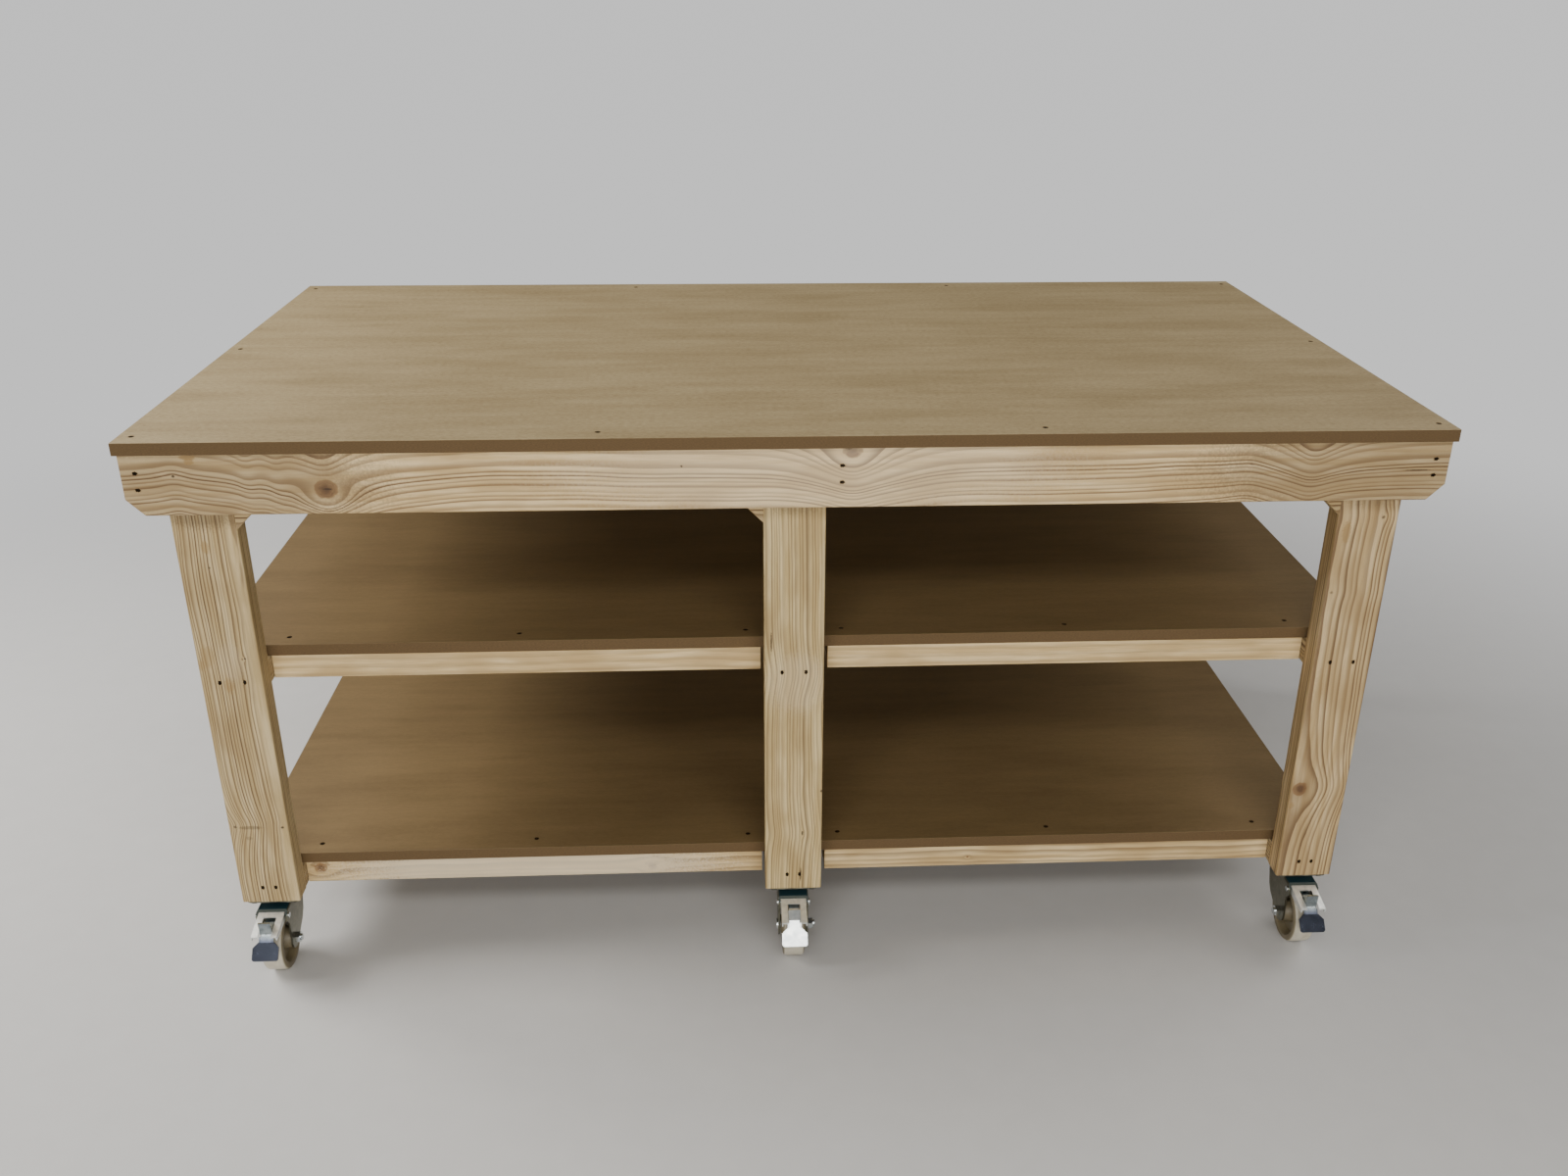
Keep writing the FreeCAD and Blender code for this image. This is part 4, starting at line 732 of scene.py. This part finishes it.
# %% Plated steel
# FOOT_NEAR and FOOT_FAR bound the painted reflection on the pedal feet; TOP_METAL is how metallic
# the faces under the painted reflection are.
FOOT_NEAR, FOOT_FAR = 497.0, 503.0
TOP_METAL = 0.3
ZINC_RELIEF = 0.00003


def zinc_plate(name, tone, haze, gloss, metal=1.0, top=None, foot=None):
    """Plated steel with clouded roughness. top is a painted reflection on the faces that look up,
    which are also made less metallic, and foot a painted reflection on what lies more than half a
    metre in front of the table's middle or behind it."""
    material, graph, shader = new_material(name)
    place = graph.place_mm()
    cloud = graph.noise(place, scale=0.09, detail=4.0, roughness=0.6)
    scratch = graph.noise(graph.vector("MULTIPLY", place, (0.4, 0.08, 0.9)), detail=2.0)
    colour = graph.blend(graph.step(cloud, 0.35, 0.7), tone, haze)
    if top:
        upward = graph.step(graph.parts(graph.facing())[2], 0.6, 0.9)
        colour = graph.blend(upward, colour, top)
        metal = graph.between(upward, metal, TOP_METAL)
    # The foot tone is a painted reflection.
    if foot:
        depth = graph.math("ABSOLUTE", graph.parts(place)[1])
        colour = graph.blend(graph.step(depth, FOOT_NEAR, FOOT_FAR), colour, foot)
    graph.feed(shader.inputs["Metallic"], metal)
    graph.feed(shader.inputs["Base Color"], colour)
    graph.feed(shader.inputs["Roughness"],
               graph.sum(gloss, graph.times(cloud, 0.12), graph.times(scratch, 0.06)))
    finish_bump(graph, shader, graph.sum(cloud, graph.times(scratch, 0.4)), ZINC_RELIEF)
    return material


bright_zinc = zinc_plate("bright_zinc", linear(222, 226, 226), linear(190, 198, 202), 0.10)
hood_zinc = zinc_plate("hood_zinc", linear(238, 240, 238), linear(214, 218, 216), 0.24,
                       metal=0.6)
# The top tone of the forks is a painted blue-green reflection.
fork_zinc = zinc_plate("fork_zinc", linear(130, 128, 112), linear(116, 115, 101), 0.26,
                       top=linear(38, 66, 74))
plate_zinc = zinc_plate("plate_zinc", linear(122, 120, 108), linear(96, 96, 88), 0.30)
# The foot tone of the outer pedals is a painted dark blue reflection.
pedal_zinc_painted_reflection = zinc_plate("pedal_zinc_painted_reflection", linear(176, 186, 188), linear(138, 150, 154), 0.16,
                         foot=linear(92, 98, 114))
screw_steel = zinc_plate("screw_steel", linear(62, 50, 36), linear(36, 28, 20), 0.42)
print("plated steels:", bright_zinc.name, hood_zinc.name, fork_zinc.name, plate_zinc.name,
      pedal_zinc_painted_reflection.name, screw_steel.name)

# %% Cast nylon
AXLE_DEPTH, AXLE_HEIGHT = 440.5, 50.0
RIM_INSIDE, RIM_OUTSIDE = 41.0, 47.0
NYLON_RELIEF = 0.00006


def cast_nylon(name, tone, shade, side):
    """Cast nylon with painted shade on the sides and inside the rim, where the distance from the
    axle is under the rim's inner radius: distance^2 = (|y| - axle depth)^2 + (z - axle
    height)^2."""
    material, graph, shader = new_material(name)
    place = graph.place_mm()
    cloud = graph.noise(place, scale=0.05, detail=3.0)
    grain = graph.noise(place, scale=1.3, detail=2.0)
    sideways = graph.step(graph.math("ABSOLUTE", graph.parts(graph.facing())[0]), 0.45, 0.85)
    depth, height = graph.parts(place)[1], graph.parts(place)[2]
    behind = graph.minus(graph.math("ABSOLUTE", depth), AXLE_DEPTH)
    above = graph.minus(height, AXLE_HEIGHT)
    radius = graph.math("SQRT", graph.sum(graph.square(behind), graph.square(above)))
    # Painted shade: the sides and the recess inside the rim are darkened.
    painted_shade = graph.math("MAXIMUM", sideways, graph.step(radius, RIM_INSIDE, RIM_OUTSIDE, 1.0, 0.0))
    colour = graph.blend(graph.step(cloud, 0.35, 0.7), tone, shade)
    colour = graph.blend(painted_shade, colour, side)
    graph.feed(shader.inputs["Base Color"], colour)
    graph.feed(shader.inputs["Roughness"], graph.sum(0.34, graph.times(cloud, 0.18)))
    finish_bump(graph, shader, grain, NYLON_RELIEF)
    return material


# The last tone is the painted shade of the sides and of the recess inside the rim.
nylon = cast_nylon("cast_nylon", linear(204, 198, 180), linear(184, 176, 156),
                   linear(122, 112, 88))
print("nylon nodes:", len(nylon.node_tree.nodes))

# %% [markdown]
# The names of the pieces say which finish they get. The first ending that fits wins, and the
# empty one at the end fits every name that is left: the kingpins, balls, pins and the middle
# pedals.

# %% Finishes by name
FINISHES = (("caster_plate_screws", plate_zinc), ("_screws", screw_steel), ("_wheel", nylon),
            ("_fork", fork_zinc), ("_hood", hood_zinc), ("_top_plates", plate_zinc),
            ("left_caster_pedal", pedal_zinc_painted_reflection), ("right_caster_pedal", pedal_zinc_painted_reflection),
            ("", bright_zinc))
for name, piece in nodes.items():
    if "caster_" in name or name.endswith("_screws"):
        dress(piece, next(finish for ending, finish in FINISHES if name.endswith(ending)))
print("materials:", len(bpy.data.materials))

# %% [markdown]
# The floor is painted a pale grey. Further away it turns into the tone of the sky, as a paper
# backdrop does that curves up behind the table, so no horizon is seen.

# %% Floor paint
FADE_NEAR, FADE_FAR = 1.2, 3.4
PALE_GREY, PALER_GREY = (0.58, 0.58, 0.58, 1.0), (0.62, 0.62, 0.62, 1.0)
floor_paint, graph, shader = new_material("studio_floor")
place = graph.place_mm()
dust = graph.noise(place, scale=0.02, detail=3.0)
from_table = graph.vector("LENGTH", graph.vector("MULTIPLY", place, (MM, MM, 0.0)))
far = graph.step(from_table, FADE_NEAR, FADE_FAR)
paint = graph.blend(dust, PALE_GREY, PALER_GREY)
graph.feed(shader.inputs["Base Color"], graph.blend(far, paint, BLACK))
camera_sees = graph.make("ShaderNodeLightPath").outputs["Is Camera Ray"]
glow = graph.blend(graph.times(far, camera_sees), BLACK, (SKY_SEEN, SKY_SEEN, SKY_SEEN, 1.0))
graph.feed(shader.inputs["Emission Color"], glow)
shader.inputs["Emission Strength"].default_value = 1.0
shader.inputs["Roughness"].default_value = 0.9
dress(studio_floor, floor_paint)
print("floor fades from", FADE_NEAR, "to", FADE_FAR, "m")
